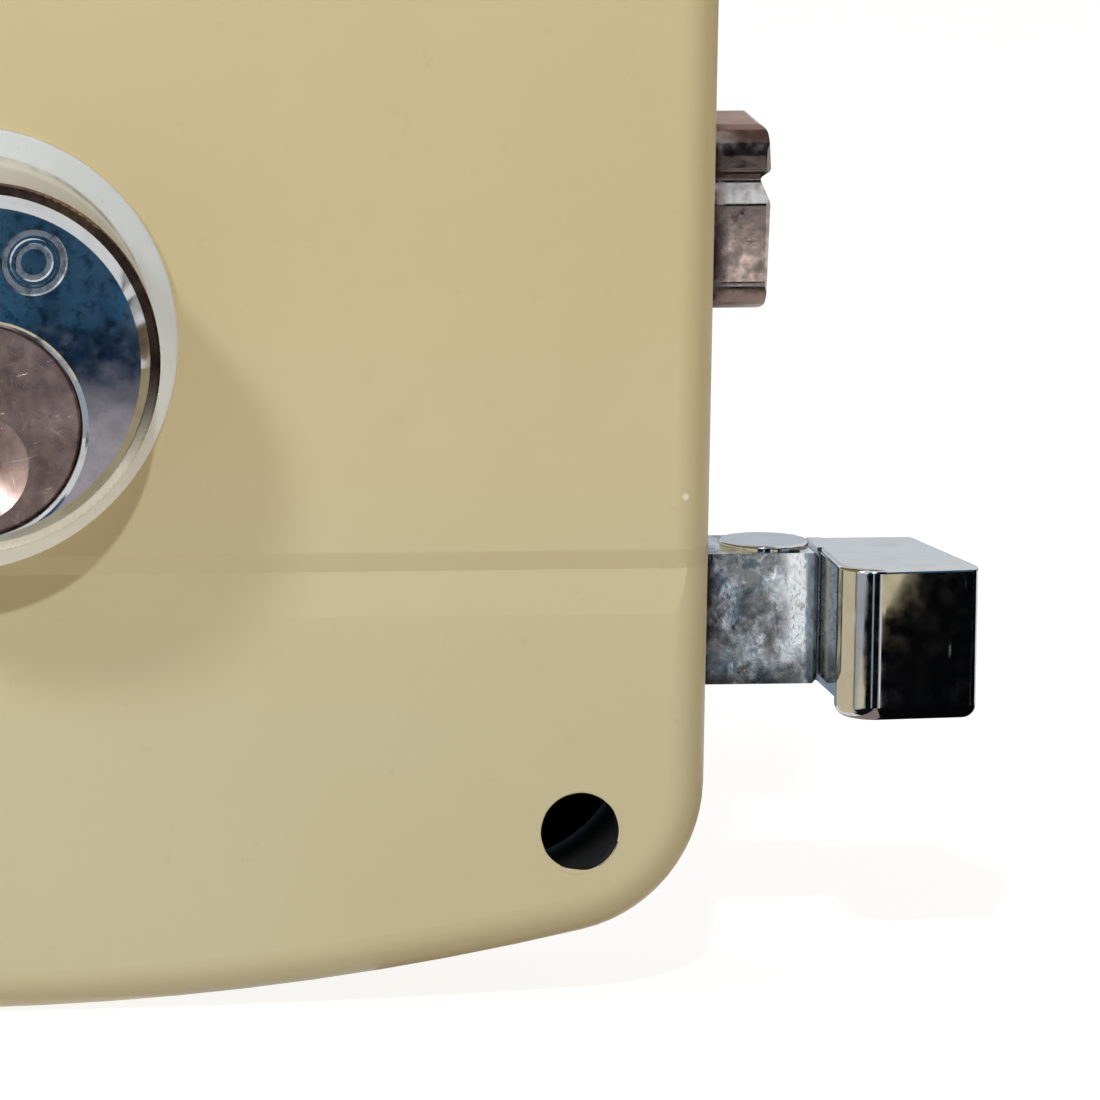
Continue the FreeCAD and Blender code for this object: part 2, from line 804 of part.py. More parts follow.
def new_funnel(body, front):
    """Dished lead-in that guides the key's tip."""
    middle = -size("funnel_drop")
    mouth = -front - 0.01
    floor = -front + size("funnel_depth")
    sketch = sketch_on(body, "funnel", "YZ_Plane", line_loop([
        (mouth, middle),
        (mouth, middle + size("funnel_diameter") / 2),
        (floor, middle + size("funnel_floor_diameter") / 2),
        (floor, middle),
    ]), "0")
    sketch.addGeometry(
        Part.LineSegment(Vector(mouth - 1, middle, 0), Vector(floor + 1, middle, 0)), True)
    feature = body.newObject("PartDesign::Groove", f"{body.Name}_funnel")
    feature.Profile = sketch
    feature.ReferenceAxis = (sketch, ["Axis0"])
    feature.Angle = 360
    body.Tip = feature
    doc.recompute()


# Pin stacks

def make_pins():
    radius = size("pin_diameter") / 2
    shear = -size("plug_drop") + size("plug_diameter") / 2
    key_pins = []
    for i in range(int(size("pin_count"))):
        y = -size("first_pin_depth") - i * size("pin_pitch")
        bottom = shear - size("pin_clearance") - size("key_pin_length")
        top = shear - size("pin_clearance")
        bevel = size("pin_bevel")
        crown = Part.makeCone(radius, radius - bevel, bevel, Vector(0, y, top - bevel))
        stem = Part.makeCylinder(radius, top - bevel - bottom, Vector(0, y, bottom))
        half = size("keyway_width") / 2 - size("seat_gap")
        tip = Part.makeCone(half - size("key_pin_taper"), half, size("key_pin_tip"),
                            Vector(0, y, bottom - size("key_pin_tip")))
        key_pins.append(stem.fuse([crown, tip]).removeSplitter())
    add_piece("key_pins", Part.makeCompound(key_pins), FreeCAD.Placement())
    seat = shear + size("press_gap")
    roof = size("cylinder_diameter") / 2 - size("chamber_skin")
    spring_length = roof - seat - size("driver_length")
    for i in range(int(size("pin_count"))):
        y = -size("first_pin_depth") - i * size("pin_pitch")
        pin = new_body(f"driver_pin_{i + 1}")
        length = size("driver_length")
        bevel = size("pin_bevel")
        turned = [(0, 0), (radius - bevel, 0), (radius, bevel), (radius, length - bevel),
                  (radius - bevel, length), (0, length)]
        upright_revolution(pin, line_loop(turned))
        pin.Placement.Base = Vector(0, y, seat)
        nodes.append(pin)
        wire = size("driver_wire")
        spring = coil(spring_length - wire, radius - wire, wire, size("driver_coils"))
        foot = Vector(0, y, seat + size("driver_length") + wire / 2)
        add_piece(f"driver_spring_{i + 1}", spring, FreeCAD.Placement(foot, Rotation()))


def coil(length, mean_radius, wire, coils):
    """Round wire wound about Z, each quarter turn a pair of tangent arcs."""
    quarters = int(round(4 * coils))
    rise = length / quarters

    def on_coil(step):
        turn = step * math.pi / 2
        return Vector(mean_radius * math.cos(turn), mean_radius * math.sin(turn), rise * step)

    def heading(step):
        turn = step * math.pi / 2
        run = mean_radius * math.pi / 2
        return Vector(-run * math.sin(turn), run * math.cos(turn), rise).normalize()

    edges = []
    for step in range(quarters):
        edges += tangent_arcs(on_coil(step), heading(step), on_coil(step + 1), heading(step + 1))
    section = Part.Wire([Part.makeCircle(wire / 2, on_coil(0), heading(0))])
    return Part.Wire(edges).makePipeShell([section], True, False)


def tangent_arcs(start, leaving, end, arriving):
    """Two arcs that join start to end and keep both headings."""
    across = end - start
    both = leaving + arriving
    bend = 4 - both.dot(both)
    reach = (math.sqrt(across.dot(both) ** 2 + bend * across.dot(across)) - across.dot(both)) / bend
    first_corner = start + leaving * reach
    last_corner = end - arriving * reach
    joint = (first_corner + last_corner) * 0.5
    return [arc_by_corner(start, first_corner, joint), arc_by_corner(joint, last_corner, end)]


def arc_by_corner(start, corner, end):
    """Arc whose end tangents meet at the corner."""
    chord_middle = (start + end) * 0.5
    half_chord = (end - start).Length / 2
    half_turn = math.atan2((corner - chord_middle).Length, half_chord)
    bulge = (corner - chord_middle).normalize() * half_chord * math.tan(half_turn / 2)
    return Part.Arc(start, chord_middle + bulge, end).toShape()


def add_piece(label, shape, placement):
    feature = doc.addObject("Part::Feature", label)
    feature.Label = label
    feature.Shape = shape
    feature.Placement = placement
    nodes.append(feature)


# Drive hub

def pinion_outline():
    """Involute teeth, the first one pointing up; each flank is one arc."""
    count = int(size("pinion_teeth"))
    angle = math.radians(size("pressure_angle"))
    base = roll_radius * math.cos(angle)
    thick = size("tooth_module") * (math.pi / 2 + 2 * size("profile_shift") * math.tan(angle))
    thick -= size("backlash") / 2
    root_half = thick / (2 * roll_radius) + math.tan(angle) - angle

    def half_angle(radius):
        lean = math.acos(min(1.0, base / radius))
        return root_half - (math.tan(lean) - lean)

    def polar(radius, turn):
        return Vector(radius * math.sin(turn), radius * math.cos(turn), 0)

    tip = size("pinion_tip_radius")
    root = size("pinion_root_radius")
    middle = (base + tip) / 2
    edges = []
    for i in range(count):
        centre = i * 2 * math.pi / count
        after = centre + 2 * math.pi / count
        up = [polar(r, centre - half_angle(r)) for r in (base, middle, tip)]
        down = [polar(r, centre + half_angle(r)) for r in (tip, middle, base)]
        edges.append(Part.LineSegment(polar(root, centre - root_half), up[0]))
        edges.append(Part.Arc(*up))
        edges.append(Part.Arc(up[2], polar(tip, centre), down[0]))
        edges.append(Part.Arc(*down))
        edges.append(Part.LineSegment(down[2], polar(root, centre + root_half)))
        edges.append(Part.Arc(polar(root, centre + root_half),
                              polar(root, (centre + after) / 2),
                              polar(root, after - root_half)))
    return edges


def make_hub():
    body = new_body("drive_hub")
    pad(body, "journal", circle(0, 0, size("journal_diameter") / 2),
        "seat_gap", "bar_back - 3 * seat_gap - hub_flange_thickness")
    pad(body, "flange", circle(0, 0, size("hub_flange_diameter") / 2),
        "bar_back - 3 * seat_gap - hub_flange_thickness", "hub_flange_thickness")
    pad(body, "pinion", pinion_outline(),
        "bar_back - 3 * seat_gap - hub_flange_thickness / 2",
        "bar_thickness + 5 * seat_gap + hub_flange_thickness / 2")
    dog = size("dog_width") / 2
    reach = size("dog_length") / 2
    pad(body, "neck", circle(0, 0, size("pinion_root_radius")),
        "bar_back + bar_thickness", "cylinder_back - plug_tail - bar_back - bar_thickness")
    pad(body, "dog", rectangle(-dog, -reach, dog, reach),
        "cylinder_back - plug_tail - 0.3", "dog_reach + 0.3")
    slot = size("tail_slot_width") / 2
    length = size("tail_slot_length") / 2
    pocket(body, "tail_slot", rectangle(-slot, -length, slot, length),
           "0", "tail_slot_depth + seat_gap")
    place(body, z="-plug_drop")
    nodes.append(body)


# Deadbolt

def make_deadbolt():
    body = new_body("deadbolt")
    back = size("bolt_back")
    front = back + size("bolt_thickness")
    bottom = size("bolt_bottom")
    soft = size("edge_break")
    groove_floor = -front + size("groove_depth")
    apex = size("groove_top") - size("groove_apex_drop")
    section = rounded_loop([
        (-back, bottom, size("bolt_back_round")),
        (-front, bottom, size("bolt_bottom_round")),
        (-front, size("groove_bottom"), soft),
        (groove_floor, apex, soft),
        (-front, size("groove_top"), soft),
        (-front, bolt_top, size("bolt_top_round")),
        (-back, bolt_top, size("bolt_back_round")),
    ])
    pad(body, "block", section, "bolt_block_start", "bolt_nose - bolt_block_start", "YZ_Plane")
    nose = size("bolt_nose")
    notch = nose - size("nose_notch")
    lobe = nose - size("lobe_setback")
    skin = size("cut_skin")
    corner = size("nose_round")
    start = lobe - 2 * corner
    clear = rounded_loop([
        (start, bolt_top + 1, 0),
        (start, bolt_top + skin, 0),
        (lobe, bolt_top + skin, corner),
        (nose, size("groove_top"), soft),
        (notch, apex, soft),
        (nose, size("groove_bottom"), soft),
        (lobe, bottom - skin, corner),
        (start, bottom - skin, 0),
        (start, bottom - 1, 0),
        (nose + 3, bottom - 1, 0),
        (nose + 3, bolt_top + 1, 0),
    ])
    pocket(body, "nose", clear, "bolt_back - 1", "bolt_thickness + 2")
    cut = size("nose_bevel")
    bevel = [(nose - cut, -front - 1), (nose - cut, -front), (nose, -front + cut),
             (nose + 1, -front + cut), (nose + 1, -front - 1)]
    pocket(body, "nose_bevel", line_loop(bevel), "bolt_bottom - 1", "bolt_height + 2",
           "XY_Plane")
    pad(body, "bar", bar_outline(), "bar_back", "bar_thickness")
    lug_left = -size("lever_x") + (size("lever_z") - size("lug_bottom")) * math.tan(lever_tilt)
    lug_left += size("lever_half_width") / math.cos(lever_tilt) + size("seat_gap")
    pad(body, "lug", rectangle(lug_left, size("lug_bottom"), lug_left + size("lug_length"),
                               size("lug_top")),
        "lever_back", "bar_back + 1 - lever_back")
    place(body)
    nodes.append(body)


def bar_outline():
    """Bar of the deadbolt with the rack along its lower edge."""
    slope = math.tan(math.radians(size("pressure_angle")))
    half = pitch / 4 - size("backlash") / 4
    tip_half = half - size("rack_tip") * slope
    root_half = half + size("rack_root") * slope
    tip_z = rack_line - size("rack_tip")
    first = -math.ceil(throw / pitch) - 2
    points = [(-size("bar_end"), size("bar_top")), (-size("bar_end"), bar_bottom)]
    for i in range(first, 2):
        x = (i + 0.5) * pitch
        points += [(x - root_half, bar_bottom), (x - tip_half, tip_z),
                   (x + tip_half, tip_z), (x + root_half, bar_bottom)]
    points += [(size("bolt_block_start") + 1, bar_bottom),
               (size("bolt_block_start") + 1, size("bar_top"))]
    return line_loop(points)


# Latch: slide, tongue, pin and clip

def make_latch():
    slide = new_body("latch_slide")
    pad(slide, "block", rectangle(size("latch_block_start"), latch_bottom,
                                  size("latch_block_end"), latch_top),
        "latch_back", "latch_thickness")
    pad(slide, "bar", rectangle(-size("slide_end"), latch_bottom,
                                size("latch_block_start") + 1, latch_top),
        "slide_back", "slide_thickness")
    middle = -size("latch_drop")
    pad(slide, "boss", circle(-size("boss_x"), middle, size("boss_diameter") / 2),
        "lever_back - 2 * seat_gap", "slide_back + 1 - lever_back")
    slide_middle = size("slide_back") + size("slide_thickness") / 2
    rod = size("rod_diameter") / 2 + size("seat_gap")
    pocket(slide, "rod_bore", circle(-slide_middle, middle, rod), "-slide_end",
           "latch_travel + slide_end - rod_tip + 1", "YZ_Plane")
    gap = size("seat_gap")
    tenon_back = size("head_back") + 2 * gap
    tenon_front = size("neck_front") - 2 * gap
    tenon = size("tenon_height") / 2
    mouth = [(-tenon_back + gap, middle - tenon - gap), (-tenon_front - gap, middle - tenon - gap),
             (-tenon_front - gap, middle + tenon + gap), (-tenon_back + gap, middle + tenon + gap)]
    pocket(slide, "mortise", line_loop(mouth), "latch_block_end - tenon_length - 2 * seat_gap",
           "tenon_length + 1", "YZ_Plane")
    pin = circle(size("latch_pin_x"), -size("latch_pin_depth"),
                 size("latch_pin_diameter") / 2 + size("running_fit"))
    pocket(slide, "pin_bore", pin, "-latch_drop - latch_height / 2 - 1", "latch_height + 2",
           "XY_Plane")
    recess = size("latch_pin_diameter") / 2 + size("latch_clip_side") + size("latch_clip_room")
    pocket(slide, "clip_recess",
           circle(size("latch_pin_x"), -size("latch_pin_depth"), recess),
           "-latch_drop - latch_height / 2 - 1", "latch_clip_recess + 1", "XY_Plane")
    dress(slide, "Chamfer", "ends", slide_corner, "slide_bevel")
    place(slide)
    nodes.append(slide)

    tongue = new_body("latch_tongue")
    start = size("latch_block_end") + size("running_fit")
    left = size("head_left")
    soft = size("edge_break")
    plan = rounded_loop([
        (left, -size("head_back"), 0),
        (size("head_back_right"), -size("head_back"), soft),
        (size("head_right"), -size("head_front") + size("head_lean"), size("head_edge_round")),
        (left, -size("head_front"), size("head_corner_round")),
    ])
    pad(tongue, "head", plan, "-head_bottom", "head_bottom - head_top", "XY_Plane")
    low = -size("head_bottom")
    front_of = -size("head_back") - soft
    dress(tongue, "Fillet", "bottom_edge",
          lambda e: at_height(e, low) and e.BoundBox.YMin < front_of, "head_bottom_round")
    top = -size("head_top")
    dress(tongue, "Fillet", "top_edge",
          lambda e: at_height(e, top) and e.BoundBox.YMin < front_of, "head_top_round")
    heel = rectangle(left - 1, -size("heel_front"), size("head_right"), -size("head_back") + 1)
    pocket(tongue, "heel", heel, "-head_bottom - 1",
           "1 + head_bottom - latch_drop - latch_height / 2", "XY_Plane")
    pad(tongue, "neck", rectangle(start, latch_bottom, left + 1, top), "head_back",
        "neck_front - head_back")
    pad(tongue, "tenon", rectangle(size("latch_block_end") - size("tenon_length"),
                                   middle - tenon, left, middle + tenon),
        "head_back + 2 * seat_gap", "neck_front - head_back - 4 * seat_gap")
    pocket(tongue, "pin_bore", pin, "-latch_drop - latch_height / 2 - 1",
           "latch_height + 2", "XY_Plane")
    place(tongue)
    nodes.append(tongue)

    radius = size("latch_pin_diameter") / 2
    clip_top = latch_bottom + size("latch_clip_recess") - size("running_fit")
    play = size("press_gap")
    clip_low = clip_top - size("latch_clip_thickness")
    groove = radius - size("latch_pin_groove")
    end = clip_low - size("latch_pin_end")
    headed = new_body("latch_pin")
    profile = rounded_loop([
        (0, end, 0),
        (radius, end, 0.2),
        (radius, clip_low - play, 0),
        (groove, clip_low - play, 0),
        (groove, clip_top + play, 0),
        (radius, clip_top + play, 0),
        (radius, latch_top, 0),
        (size("latch_pin_head") / 2, latch_top, 0),
        (size("latch_pin_head") / 2, latch_top + size("latch_pin_head_height"), 0.25),
        (0, latch_top + size("latch_pin_head_height"), 0),
    ])
    upright_revolution(headed, profile)
    place(headed, "latch_pin_x", "-latch_pin_depth")
    nodes.append(headed)

    clip = new_body("latch_pin_clip")
    half = size("latch_clip_opening") / 2
    wide = radius + size("latch_clip_side")
    deep = radius + size("latch_clip_end")
    outline = rounded_loop([
        (-half, -wide - 0.3, 0.2), (-half, -0.6, 0), (half, -0.6, 0), (half, -wide - 0.3, 0.2),
        (wide, -deep, 0.8), (wide, deep, 1.2), (-wide, deep, 1.2), (-wide, -deep, 0.8),
    ])
    clip_start = ("-latch_drop - latch_height / 2 + latch_clip_recess - running_fit"
                  " - latch_clip_thickness")
    pad(clip, "plate", outline, clip_start, "latch_clip_thickness", "XY_Plane")
    pocket(clip, "seat", circle(0, 0, groove + play), clip_start, "latch_clip_thickness",
           "XY_Plane")
    place(clip, "latch_pin_x", "-latch_pin_depth")
    nodes.append(clip)


def slide_corner(edge):
    """Upright and lengthwise outer corners at the slide's room-side end face."""
    box = edge.BoundBox
    at_end = abs(box.XMin - size("latch_block_end")) < 1e-4
    outside = box.ZLength > size("latch_height") - 0.1 or box.YLength > size("latch_thickness") - 0.1
    return at_end and box.XLength < 1e-4 and outside


def upright_revolution(body, edges):
    """Revolution about the body's own Z axis, drawn on its XZ plane."""
    sketch = sketch_on(body, "turned", "XZ_Plane", edges, "0")
    feature = body.newObject("PartDesign::Revolution", f"{body.Name}_turned")
    feature.Profile = sketch
    feature.ReferenceAxis = (sketch, ["V_Axis"])
    feature.Angle = 360
    body.Tip = feature
    doc.recompute()


# Lever between the deadbolt's lug and the latch slide

def make_lever():
    body = new_body("retract_lever")
    wide = size("lever_half_width")
    near = lever_reach
    far = lever_reach / math.cos(lever_tilt)
    slot = size("boss_diameter") / 2 + size("boss_clearance")
    end = far + size("boss_clearance")
    outline = [
        arc(0, 0, wide, 0, math.pi),
        Part.LineSegment(Vector(-wide, 0, 0), Vector(-wide, -end, 0)),
        arc(0, -end, wide, math.pi, 2 * math.pi),
        Part.LineSegment(Vector(wide, -end, 0), Vector(wide, 0, 0)),
    ]
    pad(body, "plate", outline, "lever_back", "lever_thickness")
    high = near - size("boss_clearance")
    slot_outline = [
        arc(0, -high, slot, 0, math.pi),
        Part.LineSegment(Vector(-slot, -high, 0), Vector(-slot, -end, 0)),
        arc(0, -end, slot, math.pi, 2 * math.pi),
        Part.LineSegment(Vector(slot, -end, 0), Vector(slot, -high, 0)),
    ]
    pocket(body, "slot", slot_outline, "lever_back", "lever_thickness")
    pocket(body, "pivot_bore", circle(0, 0, size("lever_journal") / 2 + size("running_fit")),
           "lever_back", "lever_thickness")
    place(body, x="-lever_x", z="lever_z")
    body.Placement.Rotation = Rotation(Vector(0, 1, 0), -math.degrees(lever_tilt))
    nodes.append(body)

    post = new_body("lever_post")
    lever_front = size("lever_back") + size("lever_thickness")
    clip_start = lever_front + size("seat_gap")
    clip_end = clip_start + size("lever_clip_thickness") + 2 * size("press_gap")
    journal = size("lever_journal") / 2
    groove = journal - size("lever_clip_groove")
    seat = size("lever_back") - size("seat_gap")
    shoulder = size("lever_seat") / 2
    end = clip_end + size("edge_break")
    plate = size("plate_thickness")
    profile = [
        (0, 0), (0, stud_radius), (-plate, stud_radius), (-plate, shoulder),
        (-seat, shoulder), (-seat, journal), (-clip_start, journal), (-clip_start, groove),
        (-clip_end, groove), (-clip_end, journal), (-end, journal), (-end, 0),
    ]
    revolve(post, "Revolution", "turned", line_loop(profile))
    place(post, x="-lever_x", z="lever_z")
    nodes.append(post)
    clip = ring("lever_clip", journal + size("lever_clip_stand"), groove + size("press_gap"),
                "lever_back + lever_thickness + seat_gap + press_gap", "lever_clip_thickness",
                size("lever_clip_opening"))
    place(clip, x="-lever_x", z="lever_z")
    nodes.append(clip)


# Guides riveted to the plate

def guide_foot(body, left, right):
    pad(body, "foot", rectangle(left, -size("foot_bottom"), right, -size("foot_top")),
        "plate_thickness", "foot_thickness")


def rivet_holes(body, places, name="rivet_holes"):
    holes = []
    for x, z in places:
        holes += circle(x, z, stud_radius + size("running_fit"))
    pocket(body, name, holes, "plate_thickness", "foot_thickness")


def make_guides():
    front = new_body("front_guide")
    plate = size("plate_thickness")
    x = size("front_guide_x")
    margin = size("guide_margin")
    room = -size("head_front") - size("guide_thickness")
    upright = rounded_loop([
        (-plate, -size("head_bottom") - margin, 1.0),
        (-plate, bolt_top + margin, 1.0),
        (room, bolt_top + margin, 2.0),
        (room, -size("head_bottom") - margin, 2.0),
    ])
    pad(front, "upright", upright, "front_guide_x", "guide_thickness", "YZ_Plane")
    guide_foot(front, x - size("foot_length"), x + 1)
    pocket(front, "deadbolt_window", deadbolt_window(size("guide_gap")),
           "front_guide_x", "guide_thickness", "YZ_Plane")
    pocket(front, "latch_window", latch_window(size("guide_gap") * 2),
           "front_guide_x", "guide_thickness", "YZ_Plane")
    rivet_holes(front, rivet_places[0:2])
    place(front)
    nodes.append(front)

    inner = new_body("inner_guide")
    gap = size("guide_gap")
    bar_front = size("bar_back") + size("bar_thickness")
    latch_front = size("latch_back") + size("latch_thickness")
    room = -bar_front - size("guide_thickness")
    upright = rounded_loop([
        (-plate, latch_bottom - margin, 1.0),
        (-plate, size("bar_top") + margin, 1.0),
        (room, size("bar_top") + margin, 1.5),
        (room, latch_bottom - margin, 1.5),
    ])
    pad(inner, "upright", upright, "inner_guide_x", "guide_thickness", "YZ_Plane")
    right = size("inner_guide_x") + size("guide_thickness")
    guide_foot(inner, right - 1, right + size("foot_length"))
    bar = rectangle(-bar_front - gap, bar_bottom - gap, -size("bar_back") + gap,
                    size("bar_top") + gap)
    pocket(inner, "bar_window", bar, "inner_guide_x", "guide_thickness", "YZ_Plane")
    latch = rectangle(-latch_front - gap, latch_bottom - gap, -size("latch_back") + gap,
                      latch_top + gap)
    pocket(inner, "latch_window", latch, "inner_guide_x", "guide_thickness", "YZ_Plane")
    rivet_holes(inner, rivet_places[2:4])
    place(inner)
    nodes.append(inner)


def make_spring_stop():
    body = new_body("spring_stop")
    plate = size("plate_thickness")
    middle = -size("latch_drop")
    depth = size("slide_back") + size("slide_thickness") / 2
    half = size("rivet_head") + 4 * size("seat_gap")
    room = -depth - size("stop_stand")
    upright = rounded_loop([
        (-plate, middle - half, 1.0),
        (-plate, middle + half, 1.0),
        (room, middle + half, 3.0),
        (room, middle - half, 3.0),
    ])
    pad(body, "upright", upright, "-stop_x - stop_thickness", "stop_thickness", "YZ_Plane")
    pad(body, "foot", rectangle(-size("stop_x") - 1, middle - half,
                                -size("stop_x") + size("foot_length"), middle + half),
        "plate_thickness", "foot_thickness")
    pocket(body, "rod_hole", circle(-depth, middle, size("rod_diameter") / 2 + size("press_gap")),
           "-stop_x - stop_thickness", "stop_thickness", "YZ_Plane")
    rivet_holes(body, rivet_places[4:6])
    place(body)
    nodes.append(body)

    rod = new_body("spring_rod")
    radius = size("rod_diameter") / 2
    pad(rod, "rod", circle(-depth, middle, radius), "-stop_x - stop_thickness",
        "stop_x + stop_thickness - rod_tip", "YZ_Plane")
    pad(rod, "head", circle(-depth, middle, size("rod_head") / 2),
        "-stop_x - stop_thickness - rod_head_height", "rod_head_height", "YZ_Plane")
    place(rod)
    nodes.append(rod)

    wire = size("spring_wire")
    length = size("stop_x") - size("slide_end") - wire - size("seat_gap")
    spring = coil(length, size("spring_diameter") / 2, wire, size("spring_coils"))
    foot = Vector(-size("stop_x") + (wire + size("seat_gap")) / 2, -depth, middle)
    add_piece("latch_spring", spring, FreeCAD.Placement(foot, Rotation(Vector(0, 1, 0), 90)))


def make_rivets():
    rivets = []
    for i, (x, z) in enumerate(rivet_places, start=1):
        rivet = new_body(f"guide_rivet_{i}")
        start = size("plate_thickness") + size("foot_thickness")
        head = size("rivet_head") / 2
        profile = rounded_loop([
            (0, 0, 0), (0, stud_radius, 0), (-start, stud_radius, 0), (-start, head, 0),
            (-start - size("rivet_head_height"), head - 0.5, size("edge_break")),
            (-start - size("rivet_head_height"), 0, 0),
        ])
        revolve(rivet, "Revolution", "turned", profile)
        rivet.Placement.Base = Vector(x, 0, z)
        rivets.append(rivet)
    nodes.append(group("guide_rivets", rivets))


# Posts that back the bar and carry the leaf spring

def make_thrust_post():
    body = new_body("thrust_post")
    pad(body, "spigot", circle(0, 0, stud_radius), "0", "plate_thickness")
    pad(body, "stem", circle(0, 0, size("thrust_post_diameter") / 2), "plate_thickness",
        "cylinder_back - 4 * seat_gap - plate_thickness")
    front = size("cylinder_back") - 4 * size("seat_gap")
    dress(body, "Chamfer", "end", lambda e: at_depth(e, front), "0.5")
    body.Placement.Base = Vector(-size("thrust_post_x"), 0, thrust_post_z)
    nodes.append(body)


def make_friction_spring():
    post = new_body("leaf_post")
    pad(post, "spigot", circle(0, 0, stud_radius), "0", "plate_thickness")
    pad(post, "stem", circle(0, 0, size("leaf_post_diameter") / 2), "plate_thickness",
        "cylinder_back - 4 * seat_gap - plate_thickness")
    half = size("leaf_thickness") / 2 + size("running_fit")
    reach = size("leaf_post_diameter")
    pocket(post, "slit", rectangle(-reach, -half, reach, half), "bar_back",
           "cylinder_back - bar_back")
    place(post, x="leaf_post_x", z="leaf_post_z")
    nodes.append(post)

    leaf = new_body("friction_leaf")
    low = size("leaf_post_z") - size("leaf_thickness") / 2
    start = size("leaf_post_x") - size("leaf_post_diameter") / 2 - 0.6
    bend = size("leaf_post_x") + size("leaf_post_diameter") / 2 + 1.0
    touch = size("leaf_touch_x")
    rest = size("bar_top") + size("running_fit")
    path = [(start, low), (bend, low), (touch, rest),
            (touch + size("leaf_lip"), rest + size("leaf_lip_rise"))]
    outline = strip_outline(path, size("leaf_thickness"), size("leaf_bend"))
    pad(leaf, "strip", outline, "bar_back + seat_gap", "bar_thickness - 2 * seat_gap")
    place(leaf)
    nodes.append(leaf)


def strip_outline(path, thickness, bend):
    """Bent strip with its lower side on the path, every bend rounded."""
    upper = []
    for i, (x, z) in enumerate(path):
        before = path[max(i - 1, 0)]
        after = path[min(i + 1, len(path) - 1)]
        into = Vector(x - before[0], z - before[1], 0) if i else None
        out = Vector(after[0] - x, after[1] - z, 0) if i < len(path) - 1 else None
        into = (into or out).normalize()
        out = (out or into).normalize()
        normal = Vector(-into.y - out.y, into.x + out.x, 0).normalize()
        stretch = thickness / normal.dot(Vector(-into.y, into.x, 0))
        upper.append((x + normal.x * stretch, z + normal.y * stretch))
    last = len(path) - 1
    lower = []
    for i, (x, z) in enumerate(path):
        lower.append((x, z, bend if 0 < i < last else 0))
    back = []
    for i, (x, z) in reversed(list(enumerate(upper))):
        back.append((x, z, bend if 0 < i < last else 0))
    return rounded_loop(lower + back)


make_case_cover()
make_back_plate()
make_cover_fixings()
ring_seat = make_cylinder_body()
make_collar(ring_seat)
make_nut()
make_plug()
make_pins()
make_hub()
make_deadbolt()
make_latch()
make_lever()
make_guides()
make_spring_stop()
make_rivets()
make_thrust_post()
make_friction_spring()

doc.recompute()
faults = []
for item in doc.Objects:
    if "Invalid" in item.State or "Error" in item.State:
        faults.append(f"{item.Name} {item.State}")
for node in nodes:
    if node.Shape.isNull() or not node.Shape.isValid() or not node.Shape.Solids:
        faults.append(f"{node.Label} has no valid solid")
if faults:
    raise RuntimeError("; ".join(faults))

os.makedirs("parts", exist_ok=True)
for node in nodes:
    node.Shape.exportStep(f"parts/{node.Label}.step")
    box = node.Shape.BoundBox
    print(f"{node.Label:20s} solids {len(node.Shape.Solids)} volume {node.Shape.Volume:9.2f}"
          f" X {box.XMin:7.2f} {box.XMax:7.2f} Y {box.YMin:7.2f} {box.YMax:7.2f}"
          f" Z {box.ZMin:7.2f} {box.ZMax:7.2f}")
print("nodes", len(nodes), "throw", round(throw, 3),
      "lever swing", round(2 * math.degrees(lever_tilt), 3))
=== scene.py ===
import math

import bmesh
import bpy
from mathutils import Matrix, Vector, noise


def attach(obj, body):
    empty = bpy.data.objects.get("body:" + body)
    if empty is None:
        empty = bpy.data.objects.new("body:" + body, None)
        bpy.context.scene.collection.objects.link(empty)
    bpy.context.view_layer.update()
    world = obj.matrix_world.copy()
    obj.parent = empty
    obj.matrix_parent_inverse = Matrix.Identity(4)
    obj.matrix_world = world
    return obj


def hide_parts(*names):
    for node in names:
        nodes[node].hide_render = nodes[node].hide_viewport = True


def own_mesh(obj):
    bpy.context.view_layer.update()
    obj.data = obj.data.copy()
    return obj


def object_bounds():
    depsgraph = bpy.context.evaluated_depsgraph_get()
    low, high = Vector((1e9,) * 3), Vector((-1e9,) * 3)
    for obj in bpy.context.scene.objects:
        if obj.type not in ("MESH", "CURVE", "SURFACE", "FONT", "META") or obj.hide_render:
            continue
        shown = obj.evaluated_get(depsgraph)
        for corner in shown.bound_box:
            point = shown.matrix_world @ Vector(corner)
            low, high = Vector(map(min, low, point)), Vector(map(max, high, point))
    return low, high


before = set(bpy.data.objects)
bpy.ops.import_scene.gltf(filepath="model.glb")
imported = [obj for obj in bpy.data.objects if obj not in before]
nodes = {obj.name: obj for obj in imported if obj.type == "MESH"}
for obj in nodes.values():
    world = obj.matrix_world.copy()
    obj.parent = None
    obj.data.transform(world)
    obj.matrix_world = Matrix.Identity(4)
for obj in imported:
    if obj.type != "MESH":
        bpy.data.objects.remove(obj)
cadLow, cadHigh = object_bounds()
print("frame loaded, nodes:", len(nodes))

mm = 0.001  # materials are described in millimetres, the frame is in metres


def linear(hexText):
    # sRGB hex to the linear colour that the shaders use
    values = [int(hexText[i:i + 2], 16) / 255 for i in (1, 3, 5)]
    return [v / 12.92 if v <= 0.04045 else ((v + 0.055) / 1.055) ** 2.4 for v in values] + [1.0]


def add(tree, kind, links, out=0, **settings):
    # one node: its settings, then its inputs by name or number, each a link or a value
    node = tree.nodes.new("ShaderNode" + kind)
    for name, value in settings.items():
        setattr(node, name, value)
    for name, value in links.items():
        if isinstance(value, bpy.types.NodeSocket):
            tree.links.new(value, node.inputs[name])
        else:
            node.inputs[name].default_value = value
    return node.outputs[out] if node.outputs else node


def newMaterial(name):
    material = bpy.data.materials.new(name)
    material.use_nodes = True
    material.node_tree.nodes.clear()
    return material, material.node_tree


def surface(tree, links):
    add(tree, "OutputMaterial", {"Surface": add(tree, "BsdfPrincipled", links)})


